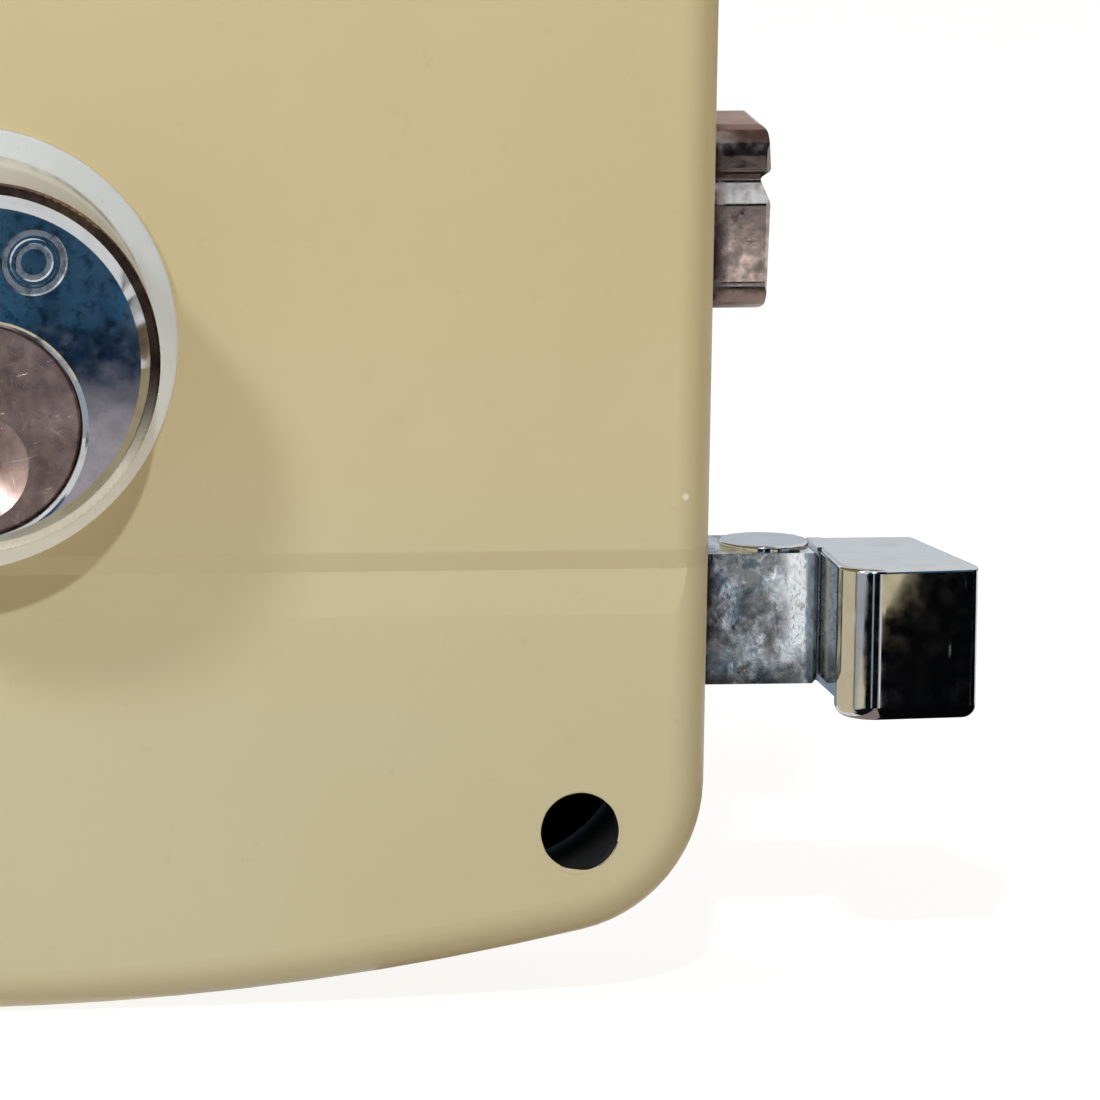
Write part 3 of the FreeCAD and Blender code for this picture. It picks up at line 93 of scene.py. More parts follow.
def perMm(size):
    # pattern scale for features of that many millimetres, as object coordinates are in metres
    return 1000 / size


def patches(tree, place, size, low, high, detail=3.0, roughness=0.5, least=0.0, most=1.0,
            shift=None):
    # noise of that many millimetres, spread between two of its values; a shift in metres
    # takes another part of the same noise
    if shift:
        place = add(tree, "Mapping", {"Vector": place, "Location": shift})
    grain = add(tree, "TexNoise", {"Vector": place, "Scale": perMm(size), "Detail": detail,
                                   "Roughness": roughness})
    return add(tree, "MapRange", {"Value": grain, "From Min": low, "From Max": high,
                                  "To Min": least, "To Max": most})


def ramp(tree, place, axis, start, end, least=0.0, most=1.0):
    # a straight change along an axis between two places in millimetres
    along = add(tree, "SeparateXYZ", {"Vector": place}, axis)
    return add(tree, "MapRange", {"Value": along, "From Min": start * mm, "From Max": end * mm,
                                  "To Min": least, "To Max": most})


def fromAxis(tree, place, x=0.0, z=0.0):
    # distance from an axis along Y that passes x and z, in millimetres
    flat = add(tree, "VectorMath", {0: place, 1: (1, 0, 1)}, operation="MULTIPLY")
    return add(tree, "VectorMath", {0: flat, 1: (x * mm, 0, z * mm)}, "Value",
               operation="DISTANCE")


def streaks(tree, place, turn, size, detail=2.0):
    # noise drawn out to cells of that many millimetres, turned about Y
    turned = add(tree, "Mapping", {"Vector": place, "Rotation": (0, math.radians(turn), 0)})
    cells = add(tree, "Mapping", {"Vector": turned, "Scale": [perMm(s) for s in size]})
    return add(tree, "TexNoise", {"Vector": cells, "Scale": 1.0, "Detail": detail})


def overlay(tree, tone, colour, mask, amount=1.0):
    # a colour laid over the tone where the mask is, at that share of its strength
    share = add(tree, "Math", {0: mask, 1: amount}, operation="MULTIPLY")
    return add(tree, "Mix", {0: share, 6: tone, 7: linear(colour)}, 2, data_type="RGBA")


def stain(tree, place, tone, colour, amount=1.0, **pattern):
    return overlay(tree, tone, colour, patches(tree, place, **pattern), amount)


def relief(tree, place, before, size, depth, strength, detail):
    # bumps of that size and depth in millimetres, over any that came before
    grain = add(tree, "TexNoise", {"Vector": place, "Scale": perMm(size), "Detail": detail})
    links = {"Height": grain, "Distance": depth * mm, "Strength": strength}
    if before is not None:
        links["Normal"] = before
    return add(tree, "Bump", links)


enamel = {
    "upper": "#D2BF92",
    "lower": "#CBBE9A",
    "change": (-30, 5),  # heights between which the lower tone turns to the upper
    "cloud": {"colour": "#C4B386", "amount": 0.35, "size": 38.0, "low": 0.35, "high": 0.7},
    "dirt": {"colour": "#8B7A5A", "amount": 0.07, "size": 1.7, "low": 0.66, "high": 0.74,
             "detail": 5.0},
    "chip": "#EFE6CB",
    "chips": [((57.7, -28.0, -12.3), 0.42), ((-31.0, -28.0, 27.5), 0.3),
              ((12.5, -28.0, 44.0), 0.25)],
    "chipEdge": (0.9, 0.5),  # shares of its size where a chip begins and is full
    "primerAndShade": "#26221F",
    "middle": (0, -14, 0),
    "foldTop": (-16.4, -17.9),
    "foldFoot": (-18.1, -21.5),
    "foldDepth": -0.22,
    "peel": {"size": 0.9, "depth": 0.012, "strength": 0.6, "detail": 2.0},
    "wave": {"size": 9.0, "depth": 0.06, "strength": 0.35, "detail": 1.0},
    "gloss": {"size": 4.0, "low": 0.3, "high": 0.7, "least": 0.31, "most": 0.42},
    "ior": 1.5,
    "specular": 0.35,
}


def stovedEnamel():
    # alkyd enamel stoved on pressed steel: soft sheen, slight orange peel, a few pale chips
    material, tree = newMaterial("stovedCreamEnamel")
    place = add(tree, "TexCoord", {}, "Object")
    # the lower tone is partly painted shade: the cover turns greyer and a little darker towards
    # the bottom
    tone = overlay(tree, linear(enamel["lower"]), enamel["upper"],
                   ramp(tree, place, "Z", *enamel["change"]))
    tone = stain(tree, place, tone, **enamel["cloud"])
    tone = stain(tree, place, tone, **enamel["dirt"])
    for point, size in enamel["chips"]:
        away = add(tree, "VectorMath", {0: place, 1: [c * mm for c in point]}, "Value",
                   operation="DISTANCE")
        start, full = (share * size * mm for share in enamel["chipEdge"])
        chip = add(tree, "MapRange", {"Value": away, "From Min": start, "From Max": full})
        tone = overlay(tree, tone, enamel["chip"], chip)
    # the faces that look to the middle of the case are only primed, and the dark primer is partly
    # painted shade that keeps the inside seen through the holes black
    around = add(tree, "VectorMath", {0: place, 1: [c * mm for c in enamel["middle"]]},
                 operation="SUBTRACT")
    facing = add(tree, "NewGeometry", {}, "True Normal")
    outward = add(tree, "VectorMath", {0: facing, 1: around}, "Value", operation="DOT_PRODUCT")
    inside = add(tree, "Math", {0: outward, 1: 0.0}, operation="LESS_THAN")
    tone = overlay(tree, tone, enamel["primerAndShade"], inside)
    # the paint rounds the fold across the cover, which looks deeper than the sheet's own step
    fold = add(tree, "Math", {0: ramp(tree, place, "Z", *enamel["foldTop"]),
                              1: ramp(tree, place, "Z", *enamel["foldFoot"], 1.0, 0.0)},
               operation="MULTIPLY")
    normal = add(tree, "Bump", {"Height": fold, "Distance": enamel["foldDepth"] * mm,
                                "Strength": 1.0})
    normal = relief(tree, place, normal, **enamel["peel"])
    normal = relief(tree, place, normal, **enamel["wave"])
    surface(tree, {"Base Color": tone, "Roughness": patches(tree, place, **enamel["gloss"]),
                   "Normal": normal, "IOR": enamel["ior"],
                   "Specular IOR Level": enamel["specular"]})
    return material


collar = {
    "colour": "#FDF4E4",
    "flow": {"colour": "#D4D0C2", "amount": 0.3, "size": 6.6, "low": 0.4, "high": 0.75},
    "speck": {"colour": "#8C8470", "amount": 0.35, "size": 0.5, "low": 0.68, "high": 0.76,
              "detail": 5.0},
    # painted shade: the cone's darker tone stands in for the shade on it
    "cone": "#AFA89B",
    "coneShadeAmount": 0.8,
    "coneEdge": (15.33, 14.93),  # radii between which the flange turns to the cone
    "paintedShade": "#7F735F",
    "crease": 15.33,
    "creaseWidth": (0.05, 0.22),  # distances from the crease where the painted shade thins and ends
    "uneven": {"size": 3.0, "low": 0.35, "high": 0.6, "least": 0.25, "most": 0.75},
    "glow": (6, -14, 0.0, 0.16),  # from and to which height, with the light at both
    "skin": {"size": 2.2, "depth": 0.03, "strength": 0.5, "detail": 4.0},
    "roughness": 0.42,
    "ior": 1.53,
    "scatter": 0.8,
    "scatterMetres": (0.0045, 0.004, 0.0035),
}


def mouldedNylon():
    # nylon, injection moulded: milky, slightly see-through at thin edges, dull sheen
    material, tree = newMaterial("mouldedWhiteNylon")
    place = add(tree, "TexCoord", {}, "Object")
    tone = stain(tree, place, linear(collar["colour"]), **collar["flow"])
    tone = stain(tree, place, tone, **collar["speck"])
    # painted shade: the cone is toned darker, and a dark line of painted shade lies in the crease
    # between flange and cone
    radius = fromAxis(tree, place)
    start, full = (edge * mm for edge in collar["coneEdge"])
    inside = add(tree, "MapRange", {"Value": radius, "From Min": start, "From Max": full})
    tone = overlay(tree, tone, collar["cone"], inside, collar["coneShadeAmount"])
    away = add(tree, "Math", {0: radius, 1: collar["crease"] * mm}, operation="SUBTRACT")
    off = add(tree, "Math", {0: away}, operation="ABSOLUTE")
    full, end = (edge * mm for edge in collar["creaseWidth"])
    line = add(tree, "MapRange", {"Value": off, "From Min": full, "From Max": end,
                                  "To Min": 1.0, "To Max": 0.0})
    tone = overlay(tree, tone, collar["paintedShade"], line, patches(tree, place, **collar["uneven"]))
    # painted light: the milky ring's lower, shaded side glows, standing in for light it carries
    # round
    glow = ramp(tree, place, "Z", *collar["glow"])
    surface(tree, {"Base Color": tone, "Roughness": collar["roughness"],
                   "Emission Color": tone, "Emission Strength": glow,
                   "Normal": relief(tree, place, None, **collar["skin"]),
                   "IOR": collar["ior"], "Subsurface Weight": collar["scatter"],
                   "Subsurface Scale": 1.0, "Subsurface Radius": collar["scatterMetres"]})
    return material


chrome = {
    "colour": "#C6C7C9",
    "haze": {"colour": "#A9A7A6", "amount": 0.5, "size": 2.6, "low": 0.45, "high": 0.75,
             "detail": 6.0},
    "mark": (4.25, 8.4),  # middle of the two sunk rings
    "rings": [(2.08, 2.52), (1.02, 1.42)],
    "ringRough": 0.38,
    "spot": "#6E727C",
    "spots": {"size": 0.9, "low": 0.5, "high": 0.62, "detail": 5.0, "roughness": 0.65},
    "spotHeights": (-2, 2, 0.15, 0.75),  # from and to which height, with the share at both
    "spotReach": (12.4, 12.7),
    "hair": "#E6E6E4",
    "hairSize": (6.0, 0.12, 6.0),
    "hairTurns": (35, -52),
    "hairEdge": (0.71, 0.77),
    "hairAmount": 0.5,
    "hairRough": 0.32,
    "hairDepth": 0.004,
    "hairStrength": 0.6,
    "gloss": {"size": 1.4, "low": 0.35, "high": 0.75, "detail": 5.0, "least": 0.05,
              "most": 0.15},
    "wave": {"size": 7.0, "depth": 0.06, "strength": 0.6, "detail": 2.0},
    "dome": -1.9,  # metres of height for the square of a metre from the axis
}


def polishedChrome(name, dome):
    # bright chrome plate over polished brass: mirror with hairlines and a faint haze
    material, tree = newMaterial(name)
    place = add(tree, "TexCoord", {}, "Object")
    tone = stain(tree, place, linear(chrome["colour"]), **chrome["haze"])
    rough = patches(tree, place, **chrome["gloss"])
    normal = relief(tree, place, None, **chrome["wave"])
    if dome:
        # the plate is clouded in small dark spots, most of them on the upper half
        radius = fromAxis(tree, place)
        start, end = (edge * mm for edge in chrome["spotReach"])
        within = add(tree, "MapRange", {"Value": radius, "From Min": start, "From Max": end,
                                        "To Min": 1.0, "To Max": 0.0})
        share = add(tree, "Math", {0: ramp(tree, place, "Z", *chrome["spotHeights"]),
                                   1: within}, operation="MULTIPLY")
        tone = overlay(tree, tone, chrome["spot"], patches(tree, place, **chrome["spots"]),
                       share)
        # the two sunk rings are etched, so they stay pale and matt
        reach = fromAxis(tree, place, *chrome["mark"])
        for inner, outer in chrome["rings"]:
            beyond = add(tree, "Math", {0: reach, 1: inner * mm}, operation="GREATER_THAN")
            before = add(tree, "Math", {0: reach, 1: outer * mm}, operation="LESS_THAN")
            ring = add(tree, "Math", {0: beyond, 1: before}, operation="MULTIPLY")
            matt = add(tree, "Math", {0: ring, 1: chrome["ringRough"]}, operation="MULTIPLY")
            rough = add(tree, "Math", {0: rough, 1: matt}, operation="MAXIMUM")
    first, second = (streaks(tree, place, turn, chrome["hairSize"])
                     for turn in chrome["hairTurns"])
    hairs = add(tree, "Math", {0: first, 1: second}, operation="MAXIMUM")
    start, full = chrome["hairEdge"]
    hair = add(tree, "MapRange", {"Value": hairs, "From Min": start, "From Max": full})
    tone = overlay(tree, tone, chrome["hair"], hair, chrome["hairAmount"])
    dull = add(tree, "Math", {0: hair, 1: chrome["hairRough"]}, operation="MULTIPLY")
    rough = add(tree, "Math", {0: rough, 1: dull}, operation="MAXIMUM")
    normal = add(tree, "Bump", {"Height": hair, "Distance": chrome["hairDepth"] * mm,
                                "Strength": chrome["hairStrength"], "Normal": normal})
    if dome:
        # the turned face is slightly crowned, so it mirrors more of the room
        square = add(tree, "Math", {0: radius, 1: radius}, operation="MULTIPLY")
        crown = add(tree, "Math", {0: square, 1: chrome["dome"]}, operation="MULTIPLY")
        normal = add(tree, "Bump", {"Height": crown, "Distance": 1.0, "Strength": 1.0,
                                    "Normal": normal})
    surface(tree, {"Metallic": 1.0, "Base Color": tone, "Roughness": rough, "Normal": normal})
    return material


nickel = {
    "colour": "#CEC3BC",
    "tarnish": {"colour": "#9A8B84", "amount": 0.5, "size": 3.2, "low": 0.38, "high": 0.7,
                "detail": 5.0},
    "brownTint": "#5A3324",
    "brownBand": (61.5, 62.8, 1.0, 0.0),  # from and to which X, with the share at both
    "insideBand": (59.1, 60.7, 0.18, 1.0),
    "brownPatches": {"size": 1.2, "low": 0.3, "high": 0.6, "least": 0.35, "most": 1.0},
    "brownRough": 0.25,
    "gloss": {"size": 0.8, "low": 0.3, "high": 0.75, "detail": 4.0, "least": 0.07,
              "most": 0.24},
    "skin": {"size": 3.4, "depth": 0.03, "strength": 0.5, "detail": 1.5},
    "grain": {"size": 0.35, "depth": 0.004, "strength": 0.5, "detail": 2.0},
}


def platedNickel():
    # nickel plate on a cast bolt: warm mirror, uneven skin, a dark brown band where it enters the
    # case
    material, tree = newMaterial("platedNickelBolt")
    place = add(tree, "TexCoord", {}, "Object")
    tone = stain(tree, place, linear(nickel["colour"]), **nickel["tarnish"])
    # a dark brown band is laid on the bolt just outside the case wall
    band = add(tree, "Math", {0: ramp(tree, place, "X", *nickel["brownBand"]),
                              1: patches(tree, place, **nickel["brownPatches"])},
               operation="MULTIPLY")
    # the brown band fades out inside the case
    brownTint = add(tree, "Math", {0: band, 1: ramp(tree, place, "X", *nickel["insideBand"])},
               operation="MULTIPLY")
    tone = overlay(tree, tone, nickel["brownTint"], brownTint)
    dull = add(tree, "Math", {0: brownTint, 1: nickel["brownRough"]}, operation="MULTIPLY")
    rough = add(tree, "Math", {0: patches(tree, place, **nickel["gloss"]), 1: dull},
                operation="ADD")
    normal = relief(tree, place, None, **nickel["skin"])
    normal = relief(tree, place, normal, **nickel["grain"])
    surface(tree, {"Metallic": 1.0, "Base Color": tone, "Roughness": rough, "Normal": normal})
    return material


slide = {
    "colour": "#E4EAEE",
    "brown": {"colour": "#5A4C4A", "amount": 0.75, "size": 2.2, "low": 0.44, "high": 0.6,
              "detail": 6.0, "roughness": 0.65},
    "blue": {"colour": "#5E8598", "amount": 0.6, "size": 1.5, "low": 0.5, "high": 0.62,
             "detail": 5.0, "roughness": 0.6, "shift": (0.3, 0.1, 0.2)},
    "bright": "#F6FAFC",
    "brightAmount": 0.8,
    "sheenFrom": {"size": 3.0, "low": 0.0, "high": 1.0, "detail": 4.0, "least": 0.0,
                   "most": 0.004},  # metres by which the painted sheen's border wanders
    "sheenX": (69.5, 71.2),
    "sheenZ": (-29.0, -26.5),
    "sheenRough": 0.12,
    "paintedShade": "#3A3234",
    "shadeX": (62.4, 63.7, 1.0, 0.0),
    "shadeZ": (-29.6, -28.4, 0.75, 0.0),
    "shadePatches": {"size": 1.0, "low": 0.3, "high": 0.55, "least": 0.4, "most": 1.0},
    "gloss": {"size": 1.5, "low": 0.35, "high": 0.65, "detail": 6.0, "roughness": 0.65,
              "least": 0.1, "most": 0.34},
    "pits": {"size": 1.1, "depth": 0.06, "strength": 0.5, "detail": 3.0},
}


def dulledChrome():
    # thin chrome on a rough casting: mottled, pitted, brown and blue patches of wear
    material, tree = newMaterial("dulledChromeSlide")
    place = add(tree, "TexCoord", {}, "Object")
    tone = stain(tree, place, linear(slide["colour"]), **slide["brown"])
    tone = stain(tree, place, tone, **slide["blue"])
    # painted highlight: the slide's outer end is toned bright and glossier, most on its upper part
    along = add(tree, "SeparateXYZ", {"Vector": place}, "X")
    border = add(tree, "Math", {0: along, 1: patches(tree, place, **slide["sheenFrom"])},
                 operation="ADD")
    start, full = (edge * mm for edge in slide["sheenX"])
    end = add(tree, "MapRange", {"Value": border, "From Min": start, "From Max": full})
    paintedSheen = add(tree, "Math", {0: end, 1: ramp(tree, place, "Z", *slide["sheenZ"])},
                 operation="MULTIPLY")
    tone = overlay(tree, tone, slide["bright"], paintedSheen, slide["brightAmount"])
    # painted shade: the slide is darkened next to the case edge and along its lower edge
    paintedShade = add(tree, "Math", {0: ramp(tree, place, "X", *slide["shadeX"]),
                               1: ramp(tree, place, "Z", *slide["shadeZ"])},
                operation="MAXIMUM")
    tone = overlay(tree, tone, slide["paintedShade"], paintedShade,
                   patches(tree, place, **slide["shadePatches"]))
    rough = add(tree, "MapRange", {"Value": paintedSheen, "To Max": slide["sheenRough"],
                                   "To Min": patches(tree, place, **slide["gloss"])})
    surface(tree, {"Metallic": 1.0, "Base Color": tone, "Roughness": rough,
                   "Normal": relief(tree, place, None, **slide["pits"])})
    return material


plug = {
    "colour": "#D6B8AC",
    "dark": {"colour": "#96796F", "amount": 0.8, "size": 3.0, "low": 0.35, "high": 0.68,
             "detail": 6.0, "roughness": 0.6},
    "bright": "#E8DACB",
    "scratch": (3.5, 3.5, 0.11),
    "scratchTurns": (18, 64, 101, 147),
    "scratchEdge": (0.68, 0.76),
    "scratchAmount": 0.7,
    "scratchDepth": 0.01,
    "scratchStrength": 0.7,
    "spots": {"colour": "#DDD0BC", "amount": 0.6, "size": 0.7, "low": 0.68, "high": 0.74},
    "gloss": {"size": 0.9, "low": 0.3, "high": 0.7, "detail": 5.0, "least": 0.22,
              "most": 0.42},
    "skin": {"size": 0.6, "depth": 0.02, "strength": 0.6, "detail": 4.0},
}


def scratchedNickelBrass():
    # nickel brass, turned then rubbed by keys: satin, with bright scratches every way
    material, tree = newMaterial("scratchedNickelBrass")
    place = add(tree, "TexCoord", {}, "Object")
    tone = stain(tree, place, linear(plug["colour"]), **plug["dark"])
    marks = 0.0
    for turn in plug["scratchTurns"]:
        line = streaks(tree, place, turn, plug["scratch"])
        marks = add(tree, "Math", {0: marks, 1: line}, operation="MAXIMUM")
    start, full = plug["scratchEdge"]
    marks = add(tree, "MapRange", {"Value": marks, "From Min": start, "From Max": full})
    tone = overlay(tree, tone, plug["bright"], marks, plug["scratchAmount"])
    tone = stain(tree, place, tone, **plug["spots"])
    normal = relief(tree, place, None, **plug["skin"])
    normal = add(tree, "Bump", {"Height": marks, "Distance": plug["scratchDepth"] * mm,
                                "Strength": plug["scratchStrength"], "Normal": normal})
    surface(tree, {"Metallic": 1.0, "Base Color": tone,
                   "Roughness": patches(tree, place, **plug["gloss"]), "Normal": normal})
    return material


japan = {
    "colour": "#2B2B2C",
    "worn": "#55534F",
    "wornPatches": {"size": 2.2, "low": 0.6, "high": 0.72, "detail": 6.0, "roughness": 0.6},
    "wornMetal": 0.7,
    "gloss": {"size": 0.8, "low": 0.3, "high": 0.7, "detail": 4.0, "least": 0.4, "most": 0.6},
    "skin": {"size": 0.6, "depth": 0.02, "strength": 0.5, "detail": 3.0},
}


def blackJapan():
    # thin black japan baked on sheet steel: dull black, grey where the steel shines through
    material, tree = newMaterial("blackJapannedSteel")
    place = add(tree, "TexCoord", {}, "Object")
    worn = patches(tree, place, **japan["wornPatches"])
    metal = add(tree, "Math", {0: worn, 1: japan["wornMetal"]}, operation="MULTIPLY")
    surface(tree, {"Metallic": metal,
                   "Base Color": overlay(tree, linear(japan["colour"]), japan["worn"], worn),
                   "Roughness": patches(tree, place, **japan["gloss"]),
                   "Normal": relief(tree, place, None, **japan["skin"])})
    return material


zinc = {
    "colour": "#B9BCBE",
    "yellow": {"colour": "#B8B092", "amount": 0.6, "size": 11.0, "low": 0.45, "high": 0.7},
    "blue": {"colour": "#9FAAB6", "amount": 0.5, "size": 8.0, "low": 0.45, "high": 0.7,
             "shift": (0.2, 0.3, 0.1)},
    "lines": (9.0, 9.0, 0.2),
    "lineEdge": (0.3, 0.7),
    "lineRough": (0.25, 0.4),
    "lineDepth": 0.008,
    "lineStrength": 0.6,
}
brassBar = {
    "colour": "#C8A662",
    "brown": {"colour": "#8A6A3C", "amount": 0.7, "size": 2.4, "low": 0.4, "high": 0.7,
              "detail": 4.0},
    "lines": (6.0, 0.12, 6.0),
    "lineEdge": (0.3, 0.7),
    "lineRough": (0.18, 0.34),
    "lineDepth": 0.006,
    "lineStrength": 0.6,
}


def linedMetal(tree, place, tone, look):
    # lines of rolling or turning show in the gloss and as a faint relief
    lines = streaks(tree, place, 0, look["lines"])
    (start, end), (least, most) = look["lineEdge"], look["lineRough"]
    rough = add(tree, "MapRange", {"Value": lines, "From Min": start, "From Max": end,
                                   "To Min": least, "To Max": most})
    normal = add(tree, "Bump", {"Height": lines, "Distance": look["lineDepth"] * mm,
                                "Strength": look["lineStrength"]})
    surface(tree, {"Metallic": 1.0, "Base Color": tone, "Roughness": rough, "Normal": normal})


def zincPlatedSteel():
    # pressed steel, zinc plated and passivated: satin, faint blue and yellow tints
    material, tree = newMaterial("zincPlatedSteel")
    place = add(tree, "TexCoord", {}, "Object")
    tone = stain(tree, place, linear(zinc["colour"]), **zinc["yellow"])
    linedMetal(tree, place, stain(tree, place, tone, **zinc["blue"]), zinc)
    return material


def turnedBrass():
    # free-cutting brass from the lathe: yellow, fine turning rings, brown in patches
    material, tree = newMaterial("turnedBrass")
    place = add(tree, "TexCoord", {}, "Object")
    tone = stain(tree, place, linear(brassBar["colour"]), **brassBar["brown"])
    linedMetal(tree, place, tone, brassBar)
    return material


wire = {
    "colour": "#A3A4A5",
    "dark": {"colour": "#77777A", "size": 1.6, "low": 0.4, "high": 0.7},
    "gloss": {"size": 0.5, "low": 0.3, "high": 0.7, "least": 0.18, "most": 0.32},
    "skin": {"size": 0.4, "depth": 0.006, "strength": 0.5, "detail": 2.0},
}


def drawnSpringSteel():
    # hard drawn wire and strip: grey, smooth, drawn lines too fine to show, so kept coarse
    material, tree = newMaterial("drawnSpringSteel")
    place = add(tree, "TexCoord", {}, "Object")
    surface(tree, {"Metallic": 1.0,
                   "Base Color": stain(tree, place, linear(wire["colour"]), **wire["dark"]),
                   "Roughness": patches(tree, place, **wire["gloss"]),
                   "Normal": relief(tree, place, None, **wire["skin"])})
    return material


bronze = {
    "colour": "#7A5F50",
    "dark": {"colour": "#3E2C28", "size": 2.0, "low": 0.35, "high": 0.7, "detail": 4.0},
    "worn": {"colour": "#B08F5A", "amount": 0.6, "size": 5.0, "low": 0.55, "high": 0.7,
             "detail": 2.0},
    "bright": "#E9DFC8",
    "brightHeights": (-1, -8),
    "brightMetal": 0.1,
    "gloss": {"size": 0.5, "low": 0.3, "high": 0.7, "least": 0.2, "most": 0.36},
    "skin": {"size": 0.5, "depth": 0.008, "strength": 0.5, "detail": 2.0},
}


def bronzedRing():
    # hard phosphor bronze strip, browned by age, rubbed yellow in patches
    material, tree = newMaterial("brownedBronzeRing")
    place = add(tree, "TexCoord", {}, "Object")
    tone = stain(tree, place, linear(bronze["colour"]), **bronze["dark"])
    tone = stain(tree, place, tone, **bronze["worn"])
    # its lower half mirrors the pale room, so it is pale and less metallic there
    heights = bronze["brightHeights"]
    tone = overlay(tree, tone, bronze["bright"], ramp(tree, place, "Z", *heights))
    surface(tree, {"Metallic": ramp(tree, place, "Z", *heights, 1.0, bronze["brightMetal"]),
                   "Base Color": tone, "Roughness": patches(tree, place, **bronze["gloss"]),
                   "Normal": relief(tree, place, None, **bronze["skin"])})
    return material


creamPaint = stovedEnamel()
whiteNylon = mouldedNylon()
discChrome = polishedChrome("crownedChromeDisc", True)
flatChrome = polishedChrome("mirrorChrome", False)
boltNickel = platedNickel()
slideChrome = dulledChrome()
plugMetal = scratchedNickelBrass()
zincSteel = zincPlatedSteel()
blackSteel = blackJapan()
springSteel = drawnSpringSteel()
brass = turnedBrass()
ringBronze = bronzedRing()
print("materials made")

cylinderPins = range(1, 6)
brassNodes = ["cylinder_nut", "key_pins"] + [f"driver_pin_{i}" for i in cylinderPins]
springNodes = ["latch_spring", "friction_leaf", "plug_clip", "latch_pin_clip", "lever_clip"]
springNodes += [f"driver_spring_{i}" for i in cylinderPins]
finishes = {
    "case_cover": creamPaint,
    "back_plate": blackSteel,
    "cylinder_collar": whiteNylon,
    "cylinder_body": discChrome,
    "latch_tongue": flatChrome,
    "latch_pin": flatChrome,
    "deadbolt": boltNickel,
    "latch_slide": slideChrome,
    "cylinder_plug": plugMetal,
    "cylinder_snap_ring": ringBronze,
    **dict.fromkeys(brassNodes, brass),
    **dict.fromkeys(springNodes, springSteel),
}
for name, node in nodes.items():
    node.data.materials.clear()
    node.data.materials.append(finishes.get(name, zincSteel))
print("finishes given to", len(nodes), "nodes")


# springs, each with a joint, its axis, the spring's fixed end and the travel
coils = {"latch_spring": ("latch_slide", (1, 0, 0), (-0.053, 0, 0), 0.018)}
for i in cylinderPins:
    coils[f"driver_spring_{i}"] = (f"driver_lift_{i}", (0, 0, 1), (0, 0, 0.01225), 0.0012)


def givingCoil(name, joint, axis, anchor, travel):
    # the wire is a copy of the node's shape, hung on the case in its place
    data = nodes[name].data.copy()
    data.transform(nodes[name].matrix_world)
    coil = bpy.data.objects.new(f"{name}_wire", data)
    bpy.context.scene.collection.objects.link(coil)
    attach(coil, "case")
    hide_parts(name)
    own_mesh(coil)


for name, settings in coils.items():
    givingCoil(name, *settings)
print("springs made:", len(coils))


accessHole = {
    "x": 0.0498,
    "z": 0.0385,
    "face": -0.028,
    "radius": 0.0031,
    "bead": 0.00016,  # half the lip's width
    "height": 0.00005,
    "outset": 0.7,  # the lip's middle beyond the edge, in halves of its width
    "sunk": 0.00004,
    "uneven": 0.35,
    "waves": 2.3,
    "runAt": 1.45 * math.pi,
    "runSpread": 0.24,
    "runWide": 1.1,
    "runHigh": 0.8,
    "around": 72,
    "section": 10,
    "seedStep": 3.7,
}


def paintBead(name, x, z, seed):
    # paint gathers in a low uneven lip round a hole and runs a little at its foot
    mesh = bmesh.new()
    rings = []
    reach = accessHole["radius"] + accessHole["bead"] * accessHole["outset"]
    for i in range(accessHole["around"]):
        turn = 2 * math.pi * i / accessHole["around"]
        out = Vector((math.cos(turn), 0, math.sin(turn)))
        swell = 1 + accessHole["uneven"] * noise.noise(out * accessHole["waves"]
                                                       + Vector((seed, 0, 0)))
        run = math.exp(-((turn - accessHole["runAt"]) / accessHole["runSpread"]) ** 2)
        wide = accessHole["bead"] * swell * (1 + accessHole["runWide"] * run)
        high = accessHole["height"] * swell * (1 + accessHole["runHigh"] * run)
        ring = []
        for j in range(accessHole["section"]):
            lean = 2 * math.pi * j / accessHole["section"]
            point = out * (reach + wide * math.cos(lean))
            point.y = accessHole["face"] + accessHole["sunk"] - high * math.sin(lean)
            ring.append(mesh.verts.new(point + Vector((x, 0, z))))
        rings.append(ring)
    count = accessHole["section"]
    for i, ring in enumerate(rings):
        following = rings[(i + 1) % len(rings)]
        for j in range(count):
            face = mesh.faces.new((ring[j], ring[(j + 1) % count], following[(j + 1) % count],
                                   following[j]))
            face.smooth = True
    bmesh.ops.recalc_face_normals(mesh, faces=mesh.faces)
    data = bpy.data.meshes.new(name)
    mesh.to_mesh(data)
    mesh.free()
    bead = bpy.data.objects.new(name, data)
    bpy.context.scene.collection.objects.link(bead)
    data.materials.append(creamPaint)
    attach(bead, "case")


for i, (sideX, sideZ) in enumerate(((1, -1), (-1, -1), (1, 1), (-1, 1))):
    paintBead(f"paintBead{i + 1}", sideX * accessHole["x"], sideZ * accessHole["z"],
              i * accessHole["seedStep"])
print("paint beads made")


studio = {
    "floorColour": "#FFFFFF",
    "floorGlow": 0.85,
    "floorDiffuse": 0.35,
    "floorBounce": 0.34,
    "floorDrop": 0.0002,  # below the lock's lowest point
    "floorHalf": 8,
    "ambient": 0.5,
    "ambientFall": 0.38,  # share that is missing on the right
    "ambientFrom": -0.6,
    "ambientTo": 0.9,
    "ambientColour": "#FFF2DC",
}


def seenOnly(tree):
    # 1 for rays that show the background: straight, mirrored or through glass
    path = add(tree, "LightPath", {}).node.outputs
    shown = add(tree, "Math", {0: path["Is Camera Ray"], 1: path["Is Glossy Ray"]},
                operation="MAXIMUM")
    return add(tree, "Math", {0: shown, 1: path["Is Transmission Ray"]}, operation="MAXIMUM")


def stageMesh(name, points, faces, material):
    data = bpy.data.meshes.new(name)
    data.from_pydata(points, [], faces)
    piece = bpy.data.objects.new(name, data)
    bpy.context.scene.collection.objects.link(piece)
    data.materials.append(material)
    return piece


